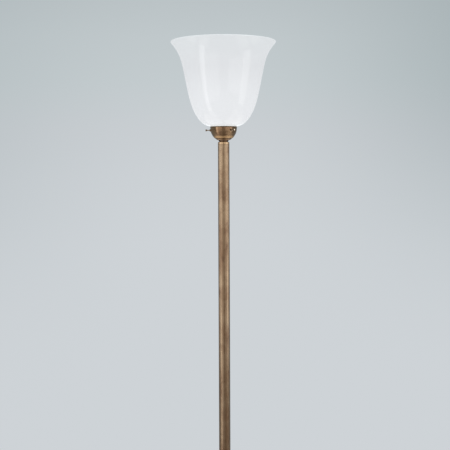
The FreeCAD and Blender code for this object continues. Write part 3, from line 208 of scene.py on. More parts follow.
class Recipe:
    """The node tree of one material."""

    def __init__(self, name: str) -> None:
        """Starts an empty tree."""
        self.material = bpy.data.materials.new(name)
        self.material.use_nodes = True
        self.tree = self.material.node_tree
        self.tree.nodes.clear()

    def node(
        self,
        kind: str,
        settings: dict[str, Any] | None = None,
        inputs: dict[int | str, Any] | None = None,
        output: int | str = 0,
    ) -> Signal:
        """Adds one node.

        Args:
            kind: The node's type.
            settings: Its properties; "stops" gives a ramp's (position, colour) pairs.
            inputs: Values or signals by socket name or number.
            output: The output to hand on.

        Returns:
            That output.
        """
        made = self.tree.nodes.new(kind)
        for key, value in (settings or {}).items():
            if key == "stops":
                self._set_stops(made.color_ramp, value)
            else:
                setattr(made, key, value)
        for key, value in (inputs or {}).items():
            socket = made.inputs[key]
            if isinstance(value, Signal):
                self.tree.links.new(value.socket, socket)
            elif isinstance(value, tuple) and socket.type == "RGBA":
                socket.default_value = (*value[:3], 1.0)
            else:
                socket.default_value = value
        return Signal(self, made.outputs[output] if made.outputs else None)

    @staticmethod
    def _set_stops(ramp: bpy.types.ColorRamp, stops: Sequence[tuple[float, Colour]]) -> None:
        """Sets a colour ramp's stops.

        Args:
            ramp: The ramp.
            stops: Its (position, colour) pairs, from low to high.
        """
        while len(ramp.elements) < len(stops):
            ramp.elements.new(1.0)
        for element, (position, colour) in zip(ramp.elements, stops):
            element.position = position
            element.color = (*colour, 1.0)

    def place(self) -> Place:
        """The shaded point's place on its piece."""
        point = self.node("ShaderNodeTexCoord", output="Object")
        x, y, z = (self.node("ShaderNodeSeparateXYZ", None, {0: point}, k) for k in range(3))
        across = self.vector(x, y, 0.0)
        radius = self.node("ShaderNodeVectorMath", {"operation": "LENGTH"}, {0: across}, "Value")
        return Place(point, x, y, z, radius, y.maths("ARCTAN2", y, x))

    def vector(self, x: Value, y: Value, z: Value) -> Signal:
        """Puts three values together."""
        return self.node("ShaderNodeCombineXYZ", None, {0: x, 1: y, 2: z})

    def stretched(self, point: Signal, by: Triple) -> Signal:
        """Scales a point by three factors."""
        return self.node("ShaderNodeVectorMath", {"operation": "MULTIPLY"}, {0: point, 1: by})

    def noise(self, point: Signal, scale: float, detail: float = 2.0, rough: float = 0.5) -> Signal:
        """Cloudy noise.

        Args:
            point: Where it is read.
            scale: Waves to a metre.
            detail: Finer octaves.
            rough: How strong those are.

        Returns:
            A value about 0.5.
        """
        inputs = {"Vector": point, "Scale": scale, "Detail": detail, "Roughness": rough}
        return self.node("ShaderNodeTexNoise", None, inputs)

    def blend(self, first: Signal | Colour, second: Signal | Colour, share: Value) -> Signal:
        """Mixes two colours.

        Args:
            first: The colour at share 0.
            second: The colour at share 1.
            share: How much of the second.

        Returns:
            The mixed colour.
        """
        # A Mix node's colours are its inputs 6 and 7 and its output 2.
        return self.node("ShaderNodeMix", {"data_type": "RGBA"}, {0: share, 6: first, 7: second}, 2)

    def bump(self, height: Signal, depth: float, strength: float = 1.0) -> Signal:
        """A normal leaning with a height, whose full swing is depth metres."""
        return self.node("ShaderNodeBump", None, {"Height": height, "Distance": depth, "Strength": strength})

    def shader(self, **inputs: Any) -> Signal:
        """A Principled shader; underscores in the names stand for spaces."""
        named = {key.replace("_", " "): value for key, value in inputs.items()}
        return self.node("ShaderNodeBsdfPrincipled", None, named)

    def finish(self, surface: Signal) -> bpy.types.Material:
        """Ends the tree with a surface.

        Args:
            surface: The shader to show.

        Returns:
            The finished material.
        """
        self.node("ShaderNodeOutputMaterial", None, {"Surface": surface})
        return self.material


# ---------------------------------------------------------------- finishes


class Finish(Protocol):
    """What a piece is dressed in."""

    def material(self) -> bpy.types.Material:
        """Builds the material."""


class Lay(Enum):
    """Which way a tool left its marks on a metal piece."""

    TURNED_UP = "rings on a surface that rises outwards"
    TURNED_DOWN = "rings on a surface that falls outwards"
    DRAWN = "streaks along the pole"
    BRIGHT = "polished, hardly a mark"


@dataclass(frozen=True)
class OpalGlass:
    """Blown opal glass: glossy, with a painted glow by height that stands in for light passing through its
    wall, thinner and duller towards the rim.

    Attributes:
        low: Height of its lower edge, in metres.
        high: Height of its rim, in metres.
        body: Tone of the thick glass low down.
        flare: Tone of the thinner glass above it.
        rim: Tone of the rim.
        painted_glow: The painted glow, as stops from the lower edge to the rim.
    """

    low: float
    high: float
    body: Colour = (0.330, 0.322, 0.333)
    flare: Colour = (0.300, 0.304, 0.307)
    rim: Colour = (0.24, 0.26, 0.26)
    painted_glow: tuple[tuple[float, Colour], ...] = (
        (0.02, (0.96, 0.975, 0.99)),
        (0.15, (0.87, 0.885, 0.90)),
        (0.27, (0.84, 0.86, 0.875)),
        (0.40, (0.815, 0.835, 0.85)),
        (0.70, (0.735, 0.75, 0.77)),
        (0.93, (0.775, 0.80, 0.82)),
    )

    def material(self) -> bpy.types.Material:
        """Builds the glass.

        Returns:
            The finished material.
        """
        recipe = Recipe("opal_glass_blown")
        place = recipe.place()
        share = (place.z - self.low) / (self.high - self.low)
        cloud = recipe.noise(place.point, 9.0, 2.0)
        thin = (share + (cloud - 0.5) * 0.2).rising(0.12, 1.05)
        milk = recipe.blend(self.body, self.flare, thin)
        edge = place.z.rising(self.high - 5.0 * MM, self.high - 0.5 * MM)
        milk = recipe.blend(milk, self.rim, edge * 0.8)
        within = share + (cloud - 0.5) * 0.06
        # Painted glow: emission that stands in for light through and onto the glass, brighter low down.
        glow = recipe.node("ShaderNodeValToRGB", {"stops": self.painted_glow}, {0: within})
        ripple = recipe.noise(recipe.stretched(place.point, (14.0, 14.0, 5.0)), 1.0, 1.0)
        seeds = recipe.noise(place.point, 420.0, 1.0).rising(0.74, 0.80)
        surface = recipe.shader(
            Base_Color=milk,
            Roughness=cloud.between(0.01, 0.03),
            IOR=1.52,
            Normal=recipe.bump(ripple - seeds * 0.03, 0.08 * MM, 0.5),
            Emission_Color=glow,
            Emission_Strength=0.68,
        )
        return recipe.finish(surface)


@dataclass(frozen=True)
class Brass:
    """Brass, browned and rubbed back or left bright, with the marks of how it was made.

    Attributes:
        name: The material's name.
        lay: Which way the marks run.
        rubbed: Tone where it is worn.
        browned: Tone where it isn't.
        dark: Tone of stains and dirt.
        age: How strong the stains are.
        pitch: Width of the turned marks.
        depth: Height of the marks.
        smooth: Roughness where it is worn.
        rough: Roughness where it isn't.
        lacquer: Weight of the clear coat.
        hollow: Radius inside which dirt and a painted shade darken it.
        bands: Lower edge, upper edge, tone and strength of tones laid on at certain heights, painted
            highlights and painted shade among them.
        satin: Added roughness inside the dirt, the painted shade and the bands.
        tip: Radius beyond which it is rubbed bright and carries a painted highlight; a metre for nowhere.
        tip_highlight: Tone of that bright end, worn bright and a painted highlight.
        edges: How softly a hollow, a band and a bright end begin.
    """

    name: str
    lay: Lay
    rubbed: Colour = srgb(168, 144, 116)
    browned: Colour = srgb(128, 98, 72)
    dark: Colour = srgb(74, 52, 38)
    age: float = 0.5
    pitch: float = 0.42
    depth: float = 0.02
    smooth: float = 0.24
    rough: float = 0.40
    lacquer: float = 0.6
    hollow: float = 0.0
    bands: tuple[tuple[float, float, Colour, float], ...] = ()
    satin: float = 0.0
    tip: float = 1e3
    tip_highlight: Colour = srgb(255, 236, 208)
    edges: Triple = (0.4, 0.5, 0.3)

    def _marks(self, recipe: Recipe, place: Place) -> Signal:
        """The tool's marks.

        Args:
            recipe: The material's tree.
            place: The shaded point's place.

        Returns:
            A height from 0 to 1.
        """
        if self.lay is Lay.DRAWN:
            return recipe.noise(recipe.vector(place.x, place.y, place.z * 0.012), 420.0, 4.0, 0.6)
        if self.lay is Lay.BRIGHT:
            return recipe.noise(place.point, 700.0, 2.0)
        way = 1.0 if self.lay is Lay.TURNED_UP else -1.0
        along = (place.z * way + place.radius) * (1.0 / (self.pitch * MM))
        fine = recipe.noise(recipe.vector(along, place.angle * 0.08, 0.0), 1.0, 3.0, 0.6)
        broad = recipe.noise(recipe.vector(along * 0.17, 0.0, 3.0), 1.0, 1.0)
        return fine * 0.65 + broad * 0.35

    def material(self) -> bpy.types.Material:
        """Builds the metal.

        Returns:
            The finished material.
        """
        recipe = Recipe(self.name)
        place = recipe.place()
        marks = self._marks(recipe, place)
        cloud = recipe.noise(place.point, 26.0, 4.0, 0.6)
        stain = recipe.noise(recipe.stretched(place.point, (1.0, 1.0, 0.35)), 90.0, 3.0, 0.6)
        worn = (cloud * 0.5 + marks * 0.5 + stain * 0.15 - 0.075).rising(0.34, 0.66)
        tone = recipe.blend(self.browned, self.rubbed, worn)
        deep = (cloud * 0.4 + stain * 0.6).rising(0.48, 0.30)
        tone = recipe.blend(tone, self.dark, deep * (0.8 * self.age))
        hollow_edge, band_edge, tip_edge = self.edges
        # Inside the hollow radius the tone goes dark: dirt, and painted shade in the groove.
        dirt_and_shade = place.radius.rising((self.hollow + hollow_edge) * MM, (self.hollow - hollow_edge) * MM)
        tone = recipe.blend(tone, self.dark, dirt_and_shade * 0.85)
        dirt_shade_or_band = dirt_and_shade
        # Bands of tone by height; the bowl's are painted highlights and painted shade.
        for low, high, colour, share in self.bands:
            below = place.z.rising((high + band_edge) * MM, (high - band_edge) * MM)
            band = place.z.rising((low - band_edge) * MM, (low + band_edge) * MM) * below
            tone = recipe.blend(tone, colour, band * (1.0 - dirt_and_shade) * share)
            dirt_shade_or_band = dirt_shade_or_band.larger(band)
        # Beyond the tip radius the end is rubbed bright and carries a painted highlight.
        rubbed_end_highlight = place.radius.rising(self.tip * MM, (self.tip + tip_edge) * MM)
        tone = recipe.blend(tone, self.tip_highlight, rubbed_end_highlight)
        rough = (1.0 - worn * 0.6 - marks * 0.4).between(self.smooth, self.rough) + dirt_shade_or_band * self.satin
        surface = recipe.shader(
            Base_Color=tone,
            Metallic=1.0,
            Roughness=rough,
            Normal=recipe.bump(marks, self.depth * MM, 0.6),
            Coat_Weight=(1.0 - dirt_shade_or_band) * self.lacquer,
            Coat_Roughness=0.16,
        )
        return recipe.finish(surface)


PLAIN_BRASS = Brass(
    "plain_brass_bright", Lay.BRIGHT, srgb(226, 196, 126), srgb(196, 160, 92), srgb(140, 108, 62), age=0.3
)


@dataclass(frozen=True)
class Metal:
    """Plated or tinned metal that is bright with faint scuffs."""

    name: str
    tone: Colour
    scuff: Colour
    roughness: float = 0.3

    def material(self) -> bpy.types.Material:
        """Builds the metal.

        Returns:
            The finished material.
        """
        recipe = Recipe(self.name)
        place = recipe.place()
        grain = recipe.noise(place.point, 900.0, 3.0, 0.7)
        cloud = recipe.noise(place.point, 160.0, 3.0)
        surface = recipe.shader(
            Base_Color=recipe.blend(self.tone, self.scuff, cloud.rising(0.4, 0.7)),
            Metallic=1.0,
            Roughness=grain.between(self.roughness * 0.7, self.roughness * 1.4),
            Normal=recipe.bump(grain, 0.01 * MM, 0.4),
        )
        return recipe.finish(surface)


ZINC_TONES = (srgb(190, 192, 190), srgb(160, 162, 158))
JET = (0.012, 0.012, 0.012)


@dataclass(frozen=True)
class CastIron:
    """Sand-cast iron under thin black paint, rusting a little where it is thin."""

    name: str = "cast_iron_painted"
    paint: Colour = (0.020, 0.020, 0.021)
    rust: Colour = srgb(96, 58, 38)

    def material(self) -> bpy.types.Material:
        """Builds the iron.

        Returns:
            The finished material.
        """
        recipe = Recipe(self.name)
        place = recipe.place()
        sand = recipe.noise(place.point, 520.0, 4.0, 0.7)
        patch = recipe.noise(place.point, 60.0, 5.0, 0.65).rising(0.60, 0.70)
        surface = recipe.shader(
            Base_Color=recipe.blend(self.paint, self.rust, patch * 0.7),
            Metallic=0.0,
            Roughness=sand.between(0.5, 0.9),
            Normal=recipe.bump(sand, 0.35 * MM, 0.8),
        )
        return recipe.finish(surface)


@dataclass(frozen=True)
class Felt:
    """Pressed wool felt: short tangled fibres."""

    name: str = "felt_pressed"
    wool: Colour = srgb(52, 62, 48)
    fibre: Colour = srgb(84, 94, 76)

    def material(self) -> bpy.types.Material:
        """Builds the felt.

        Returns:
            The finished material.
        """
        recipe = Recipe(self.name)
        place = recipe.place()
        bent = recipe.noise(place.point, 300.0, 2.0)
        swerved = recipe.vector(place.x + bent * 0.004, place.y - bent * 0.003, place.z)
        tangle = recipe.noise(swerved, 1400.0, 4.0, 0.8)
        surface = recipe.shader(
            Base_Color=recipe.blend(self.wool, self.fibre, tangle.rising(0.35, 0.7)),
            Roughness=0.95,
            Normal=recipe.bump(tangle, 0.5 * MM, 0.9),
            Sheen_Weight=0.4,
            Sheen_Roughness=0.5,
        )
        return recipe.finish(surface)


@dataclass(frozen=True)
class Moulded:
    """Moulded plastic, rubbery insulation or fired clay: one colour with a fine skin."""

    name: str
    tone: Colour
    roughness: float
    grain: float = 500.0
    depth: float = 0.02
    gloss: float = 0.0

    def material(self) -> bpy.types.Material:
        """Builds the moulding.

        Returns:
            The finished material.
        """
        recipe = Recipe(self.name)
        place = recipe.place()
        skin = recipe.noise(place.point, self.grain, 3.0, 0.6)
        cloud = recipe.noise(place.point, self.grain * 0.08, 2.0)
        worn = tuple(min(1.0, part * 1.25 + 0.004) for part in self.tone)
        surface = recipe.shader(
            Base_Color=recipe.blend(self.tone, worn, cloud.rising(0.45, 0.75)),
            Roughness=(skin * 0.5 + cloud * 0.5).between(self.roughness * 0.75, self.roughness * 1.2),
            Normal=recipe.bump(skin, self.depth * MM, 0.5),
            Coat_Weight=self.gloss,
            Coat_Roughness=0.05,
        )
        return recipe.finish(surface)


@dataclass(frozen=True)
class ClearGlass:
    """Thin clear glass."""

    name: str = "clear_glass_thin"
    tint: Colour = (0.97, 0.985, 0.98)

    def material(self) -> bpy.types.Material:
        """Builds the glass.

        Returns:
            The finished material.
        """
        recipe = Recipe(self.name)
        place = recipe.place()
        wave = recipe.noise(place.point, 40.0, 1.0)
        surface = recipe.shader(
            Base_Color=self.tint,
            Roughness=wave.between(0.0, 0.03),
            IOR=1.46,
            Transmission_Weight=1.0,
            Normal=recipe.bump(wave, 0.1 * MM, 0.3),
        )
        return recipe.finish(surface)


@dataclass(frozen=True)
class Phosphor:
    """Yellow coating of an unlit filament stick, a little grainy."""

    name: str = "phosphor_coating"
    tone: Colour = srgb(236, 178, 60)
    pale: Colour = srgb(244, 205, 112)

    def material(self) -> bpy.types.Material:
        """Builds the coating.

        Returns:
            The finished material.
        """
        recipe = Recipe(self.name)
        place = recipe.place()
        grain = recipe.noise(place.point, 1500.0, 3.0, 0.7)
        surface = recipe.shader(
            Base_Color=recipe.blend(self.tone, self.pale, grain.rising(0.4, 0.7)),
            Roughness=grain.between(0.4, 0.6),
            Normal=recipe.bump(grain, 0.03 * MM, 0.5),
        )
        return recipe.finish(surface)


# ---------------------------------------------------------------- studio


@dataclass(frozen=True)
class SoftLamp:
    """A soft lamp that stands beside the object and faces it, its lengths in metres.

    Attributes:
        name: Its name.
        azimuth: Degrees from the camera's side, to the right.
        distance: How far from the pole it stands.
        low: Height of its lower edge.
        high: Height of its upper edge.
        width: Its width.
        power: Its power in watts.
        mirrored: Whether glossy surfaces show it.
    """

    name: str
    azimuth: float
    distance: float
    low: float
    high: float
    width: float
    power: float
    mirrored: bool = True

    @staticmethod
    def panel(name: str, at: Vector, width: float, height: float, power: float) -> bpy.types.Object:
        """Makes an area lamp that faces down and that neither the camera nor a mirror sees.

        Args:
            name: Its name.
            at: Its middle.
            width: Its size across.
            height: Its other size.
            power: Its power in watts.

        Returns:
            The lamp's object.
        """
        light = bpy.data.lights.new(name, "AREA")
        light.shape = "RECTANGLE"
        light.size, light.size_y = width, height
        light.energy = power
        lamp = bpy.data.objects.new(name, light)
        bpy.context.scene.collection.objects.link(lamp)
        lamp.location = at
        lamp.visible_camera = False
        lamp.visible_transmission = False
        lamp.visible_glossy = False
        return lamp

    def stand(self) -> bpy.types.Object:
        """Puts the lamp up in its place.

        Returns:
            The lamp's object.
        """
        turn = math.radians(self.azimuth)
        x, y = math.sin(turn) * self.distance, -math.cos(turn) * self.distance
        at = Vector((x, y, (self.low + self.high) / 2))
        lamp = self.panel(self.name, at, self.width, self.high - self.low, self.power)
        facing = Vector((-at.x, -at.y, 0.0))
        lamp.rotation_euler = facing.to_track_quat("-Z", "Y").to_euler()
        lamp.visible_glossy = self.mirrored
        return lamp


@dataclass
class Studio:
    """Pale sweep of floor and wall, soft lamps on all sides, even fill light and the camera.

    Attributes:
        mirrors: The round pieces that mirror the two flags of light at the sides.
        wall_tones: The wall's tones as stops from the floor to the painted height, in metres.
        lit_floor: Radii, in metres, between which the lit floor gives way to its painted tone.
        lamps: Two narrow boxes near the object, and wide dim panels at the front and the sides.
        flags: Those two, which light nothing else.
    """

    mirrors: list[bpy.types.Object]
    sweep_radius: float = 7000.0
    cove_radius: float = 1600.0
    wall_height: float = 5200.0
    sweep_steps: int = 96
    floor_tone: Colour = srgb(206, 211, 214)
    floor_cloud: Colour = srgb(202, 207, 211)
    wall_corner: Colour = srgb(158, 170, 173)
    unlit_side: Colour = srgb(138, 140, 141)
    unlit_front: Colour = srgb(196, 190, 182)
    painted_floor_glow: Colour = srgb(238, 233, 226)
    shadowed_floor_ahead: Colour = srgb(146, 140, 132)
    unlit_far_floor: Colour = srgb(144, 138, 132)
    glow_azimuth: float = 62.0
    lit_floor: tuple[float, float] = (0.5, 1.7)
    painted_height: float = 3.2
    wall_tones: tuple[tuple[float, Colour], ...] = (
        (0.28, srgb(206, 211, 215)),
        (0.46, srgb(204, 209, 213)),
        (0.60, srgb(201, 206, 210)),
        (0.74, srgb(195, 203, 206)),
        (0.86, srgb(192, 200, 203)),
        (0.96, srgb(187, 195, 198)),
    )
    lamps: tuple[SoftLamp, ...] = (
        SoftLamp("left_box", -61.0, 1.75, 0.1, 2.6, 0.46, 4.6),
        SoftLamp("right_box", 68.0, 1.75, 0.7, 2.6, 0.7, 4.6),
        SoftLamp("left_front", -37.5, 2.9, 0.0, 3.0, 2.7, 13.0),
        SoftLamp("left_side", -91.0, 2.9, 0.6, 2.8, 2.2, 13.2, mirrored=False),
        SoftLamp("right_front", 38.0, 2.9, 0.6, 3.0, 2.5, 11.5),
        SoftLamp("right_side", 91.0, 2.9, 0.75, 2.4, 2.0, 10.6, mirrored=False),
    )
    top_at: Triple = (0.0, -1.3, 3.6)
    top_size: float = 3.2
    top_power: float = 56.0
    flags: tuple[SoftLamp, ...] = (
        SoftLamp("left_flag", -91.0, 2.8, 0.6, 2.8, 2.2, 13.2),
        SoftLamp("right_flag", 91.0, 2.8, 0.6, 2.8, 2.2, 12.6),
    )
    air_tone: Colour = (0.93, 0.97, 1.0)
    air_strength: float = 0.40
    camera_at: Triple = (2.6, -2600.0, 1460.0)
    camera_pitch: float = -2.355
    camera_roll: float = -0.22
    lens: float = 85.0
    sensor: float = 36.0

    def build(self) -> None:
        """Puts up the sweep, the lamps, the world and the camera."""
        self._sweep()
        self._light()
        self._world()
        self._camera()
        LOG.info("studio: sweep, lamps and camera")

    def _sweep(self) -> None:
        """Floor, cove and wall in one turned sheet."""
        flat = self.sweep_radius - self.cove_radius
        cove = [
            (flat + self.cove_radius * math.sin(a), self.cove_radius * (1 - math.cos(a)))
            for a in (math.radians(6 * k) for k in range(16))
        ]
        profile = [(0.0, 0.0), (1500.0, 0.0), (3500.0, 0.0), *cove, (self.sweep_radius, self.wall_height)]
        sweep = Bench.turned("studio_sweep", profile, self.sweep_steps, shell=False)
        sweep.data.materials.append(self._paper())
        sweep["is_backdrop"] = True

    def _paper(self) -> bpy.types.Material:
        """Matt paper, lit near the object and in its own tones beyond, with others for what mirrors it.

        Returns:
            The finished material.
        """
        recipe = Recipe("studio_paper")
        place = recipe.place()
        cloud = recipe.noise(place.point, 0.8, 2.0)
        lit = recipe.shader(Base_Color=recipe.blend(self.floor_tone, self.floor_cloud, cloud), Roughness=0.9)
        camera, glossy, through = (
            recipe.node("ShaderNodeLightPath", output=f"Is {ray} Ray")
            for ray in ("Camera", "Glossy", "Transmission")
        )
        direct = camera.larger(through)
        behind = place.y.rising(1.0, 4.5) * place.x.absolute().rising(1.6, 0.4)
        tone = recipe.blend(
            self._mirrored_tone(recipe, place), self._wall_tone(recipe, place), direct.larger(behind)
        )
        shown = recipe.node("ShaderNodeEmission", None, {"Color": tone, "Strength": 1.0})
        seen = (direct * place.radius.rising(*self.lit_floor)).larger(glossy)
        return recipe.finish(recipe.node("ShaderNodeMixShader", None, {0: seen, 1: lit, 2: shown}))

    def _wall_tone(self, recipe: Recipe, place: Place) -> Signal:
        """The backdrop as it is seen: tones by height, darker towards its upper corners.

        Args:
            recipe: The paper's tree.
            place: The shaded point's place.

        Returns:
            The tone.
        """
        rise = place.z / self.painted_height
        tone = recipe.node("ShaderNodeValToRGB", {"stops": self.wall_tones}, {0: rise})
        # The darker upper corners are painted shade.
        right = place.x.rising(0.1, 3.4) * place.z.rising(-0.2, 2.9)
        left = place.x.rising(-0.4, -3.6) * place.z.rising(-0.4, 2.0)
        return recipe.blend(tone, self.wall_corner, right * 0.95 + left * 0.5)

    def _mirrored_tone(self, recipe: Recipe, place: Place) -> Signal:
        """The room as glossy surfaces mirror it: dim sides, painted shade on the floor ahead and far in
        front, and a painted pool of light on the floor near the object.

        Args:
            recipe: The paper's tree.
            place: The shaded point's place.

        Returns:
            The tone.
        """
        tone = recipe.blend(self.unlit_side, self.unlit_front, place.y.rising(-3.5, -5.5))
        low = place.z.rising(1.0, 0.3)
        # Painted shade: the floor far in front and the floor ahead are darker.
        tone = recipe.blend(tone, self.unlit_far_floor, low * place.y.rising(0.0, -0.5))
        tone = recipe.blend(tone, self.shadowed_floor_ahead, place.radius.rising(1.9, 1.2))
        beside = self._toward(place, -self.glow_azimuth).larger(self._toward(place, self.glow_azimuth))
        glow = beside.larger(place.y.rising(-0.25, 0.05))
        # Painted pool of light on the floor beside and behind the object.
        return recipe.blend(tone, self.painted_floor_glow, place.radius.rising(2.4, 1.7) * glow)

    @staticmethod
    def _toward(place: Place, azimuth: float) -> Signal:
        """How nearly a point of the floor lies in a direction.

        Args:
            place: The point's place.
            azimuth: Degrees from the camera's side, to the right.

        Returns:
            1 in that direction and 0 beside it.
        """
        turn = math.radians(azimuth)
        across = place.x * math.sin(turn) - place.y * math.cos(turn)
        return (across / place.radius.larger(0.001)).rising(0.96, 0.985)

    def _light(self) -> None:
        """Puts up the lamps, the soft one overhead that lights the floor, and the pole's flags."""
        for lamp in self.lamps:
            lamp.stand()
        SoftLamp.panel("overhead", Vector(self.top_at), self.top_size, self.top_size, self.top_power)
        tubes = bpy.data.collections.new("pole_mirrors")
        for node in self.mirrors:
            tubes.objects.link(node)
        for lamp in self.flags:
            flag = lamp.stand()
            flag.visible_diffuse = False
            flag.light_linking.receiver_collection = tubes

    def _world(self) -> None:
        """Even, slightly cool light from everywhere."""
        world = bpy.data.worlds.new("studio_air")
        world.use_nodes = True
        background = world.node_tree.nodes["Background"]
        background.inputs["Color"].default_value = (*self.air_tone, 1.0)
        background.inputs["Strength"].default_value = self.air_strength
        bpy.context.scene.world = world

    def _camera(self) -> None:
        """Camera a little below the glass's rim, looking slightly down."""
        data = bpy.data.cameras.new("camera")
        data.lens = self.lens
        data.sensor_width = self.sensor
        data.clip_end = 60.0
        camera = bpy.data.objects.new("camera", data)
        bpy.context.scene.collection.objects.link(camera)
        pitch = Matrix.Rotation(math.radians(90.0 + self.camera_pitch), 4, "X")
        roll = Matrix.Rotation(math.radians(self.camera_roll), 4, "Z")
        at = Vector(self.camera_at) * MM
        camera.matrix_world = Matrix.Translation(at) @ pitch @ roll
        bpy.context.scene.camera = camera


# ---------------------------------------------------------------- modelling by operators


class Bench:
    """Edit-mode modelling of one new mesh at a time."""

    @staticmethod
    def clear() -> None:
        """Leaves edit mode and deselects everything."""
        if bpy.context.object and bpy.context.object.mode != "OBJECT":
            bpy.ops.object.mode_set(mode="OBJECT")
        bpy.ops.object.select_all(action="DESELECT")

    @staticmethod
    def hold(piece: bpy.types.Object) -> None:
        """Makes a piece the active one and the only one selected."""
        Bench.clear()
        bpy.context.view_layer.objects.active = piece
        piece.select_set(True)

    @staticmethod
    @contextmanager
    def editing(piece: bpy.types.Object) -> Iterator[None]:
        """Opens a piece in edit mode with all of it selected, and closes it again.

        Args:
            piece: The piece.
        """
        Bench.hold(piece)
        bpy.ops.object.mode_set(mode="EDIT")
        bpy.ops.mesh.select_all(action="SELECT")
        yield
        bpy.ops.object.mode_set(mode="OBJECT")

    @staticmethod
    def weld() -> None:
        """Merges the doubles of what is in edit mode and turns its faces outwards."""
        bpy.ops.mesh.select_all(action="SELECT")
        bpy.ops.mesh.remove_doubles(threshold=WELD)
        bpy.ops.mesh.normals_make_consistent(inside=False)

    @staticmethod
    def line(name: str, profile: Profile) -> bpy.types.Object:
        """Draws a profile in the XZ plane, one extruded point after the other.

        Args:
            name: The piece's name.
            profile: (radius, height) points in millimetres.

        Returns:
            The line as a mesh.
        """
        Bench.clear()
        bpy.ops.mesh.primitive_plane_add(size=0.01, location=(0, 0, 0))
        piece = bpy.context.object
        piece.name = name
        piece.data.name = name
        start = profile[0]
        with Bench.editing(piece):
            bpy.ops.mesh.merge(type="CENTER")
            bpy.ops.transform.translate(value=(start[0] * MM, 0, start[1] * MM))
            for (r0, z0), (r1, z1) in zip(profile, profile[1:]):
                bpy.ops.mesh.extrude_vertices_move(
                    TRANSFORM_OT_translate={"value": ((r1 - r0) * MM, 0, (z1 - z0) * MM)}
                )
        return piece

    @staticmethod
    def turned(name: str, profile: Profile, steps: int, shell: bool = True) -> bpy.types.Object:
        """Spins a profile about Z.

        Args:
            name: The piece's name.
            profile: (radius, height) points in millimetres.
            steps: Segments round the axis.
            shell: Whether the profile closes on itself or the axis.

        Returns:
            The turned piece, its faces outwards.
        """
        if shell and profile[0][0] > 0:
            profile = [*profile, profile[0]]
        piece = Bench.line(name, profile)
        with Bench.editing(piece):
            bpy.ops.mesh.spin(steps=steps, angle=FULL_TURN, center=(0, 0, 0), axis=(0, 0, 1))
            Bench.weld()
        Bench.smooth(piece)
        return piece

    @staticmethod
    def pick(piece: bpy.types.Object, test: Callable[[Vector, Vector], bool]) -> None:
        """Selects faces of a piece.

        Args:
            piece: The piece.
            test: Takes a face's middle, in millimetres, and its normal.
        """
        for polygon in piece.data.polygons:
            polygon.select = bool(test(polygon.center / MM, polygon.normal))

    @staticmethod
    @contextmanager
    def editing_faces(piece: bpy.types.Object) -> Iterator[None]:
        """Opens a piece in edit mode, in face mode, keeping its selected faces.

        Args:
            piece: The piece.
        """
        Bench.hold(piece)
        bpy.context.tool_settings.mesh_select_mode = (False, False, True)
        bpy.ops.object.mode_set(mode="EDIT")
        yield
        bpy.ops.object.mode_set(mode="OBJECT")
        bpy.context.tool_settings.mesh_select_mode = (True, False, False)

    @staticmethod
    def applied(piece: bpy.types.Object, kind: str, **settings: Any) -> None:
        """Gives a piece one modifier and applies it.

        Args:
            piece: The piece.
            kind: The modifier's type.
            settings: Its properties.
        """
        Bench.hold(piece)
        modifier = piece.modifiers.new(kind.lower(), kind)
        for key, value in settings.items():
            setattr(modifier, key, value)
        bpy.ops.object.modifier_apply(modifier=modifier.name)

    @staticmethod
    def threaded(name: str, ridge: Profile, low: float, high: float, steps: int) -> bpy.types.Object:
        """Winds one pitch of a thread's outline round Z and trims it between two heights.

        Args:
            name: The piece's name.
            ridge: (radius, height) points of one pitch, from height 0 to the pitch.
            low: Height of the lower end.
            high: Height of the upper end.
            steps: Segments in one turn.

        Returns:
            The thread, open at its ends.
        """
        pitch = ridge[-1][1]
        start = low - 2 * pitch
        piece = Bench.line(name, [(radius, start + height) for radius, height in ridge])
        turns = math.ceil((high - low) / pitch) + 3
        wind = {"axis": "Z", "screw_offset": pitch * MM, "steps": steps, "iterations": turns}
        Bench.applied(piece, "SCREW", **wind, use_merge_vertices=True)
        with Bench.editing(piece):
            for height, below in ((low, True), (high, False)):
                bpy.ops.mesh.select_all(action="SELECT")
                bpy.ops.mesh.bisect(
                    plane_co=(0, 0, height * MM), plane_no=(0, 0, 1), clear_inner=below, clear_outer=not below
                )
            Bench.weld()
        return piece

    @staticmethod
    def join(first: bpy.types.Object, second: bpy.types.Object) -> None:
        """Makes two pieces one object, the first."""
        Bench.hold(first)
        second.select_set(True)
        bpy.ops.object.join()

    @staticmethod
    def laid(piece: bpy.types.Object, azimuth: float, height: float) -> None:
        """Lays a piece modelled along Z out along a direction, in its mesh.

        Args:
            piece: The piece.
            azimuth: The direction, in radians from X.
            height: Its axis's height in millimetres.
        """
        with Bench.editing(piece):
            bpy.ops.transform.rotate(value=-math.pi / 2, orient_axis="Y", center_override=(0, 0, 0))
            bpy.ops.transform.rotate(value=-azimuth, orient_axis="Z", center_override=(0, 0, 0))
            bpy.ops.transform.translate(value=(0, 0, height * MM))

    @staticmethod
    def smooth(piece: bpy.types.Object, angle: float = 35.0) -> None:
        """Shades a piece smooth.

        Args:
            piece: The piece.
            angle: The sharpest bend across an edge that stays smooth, in degrees.
        """
        Bench.hold(piece)
        bpy.ops.object.shade_smooth_by_angle(angle=math.radians(angle))
        Bench.clear()


# ---------------------------------------------------------------- the lamp


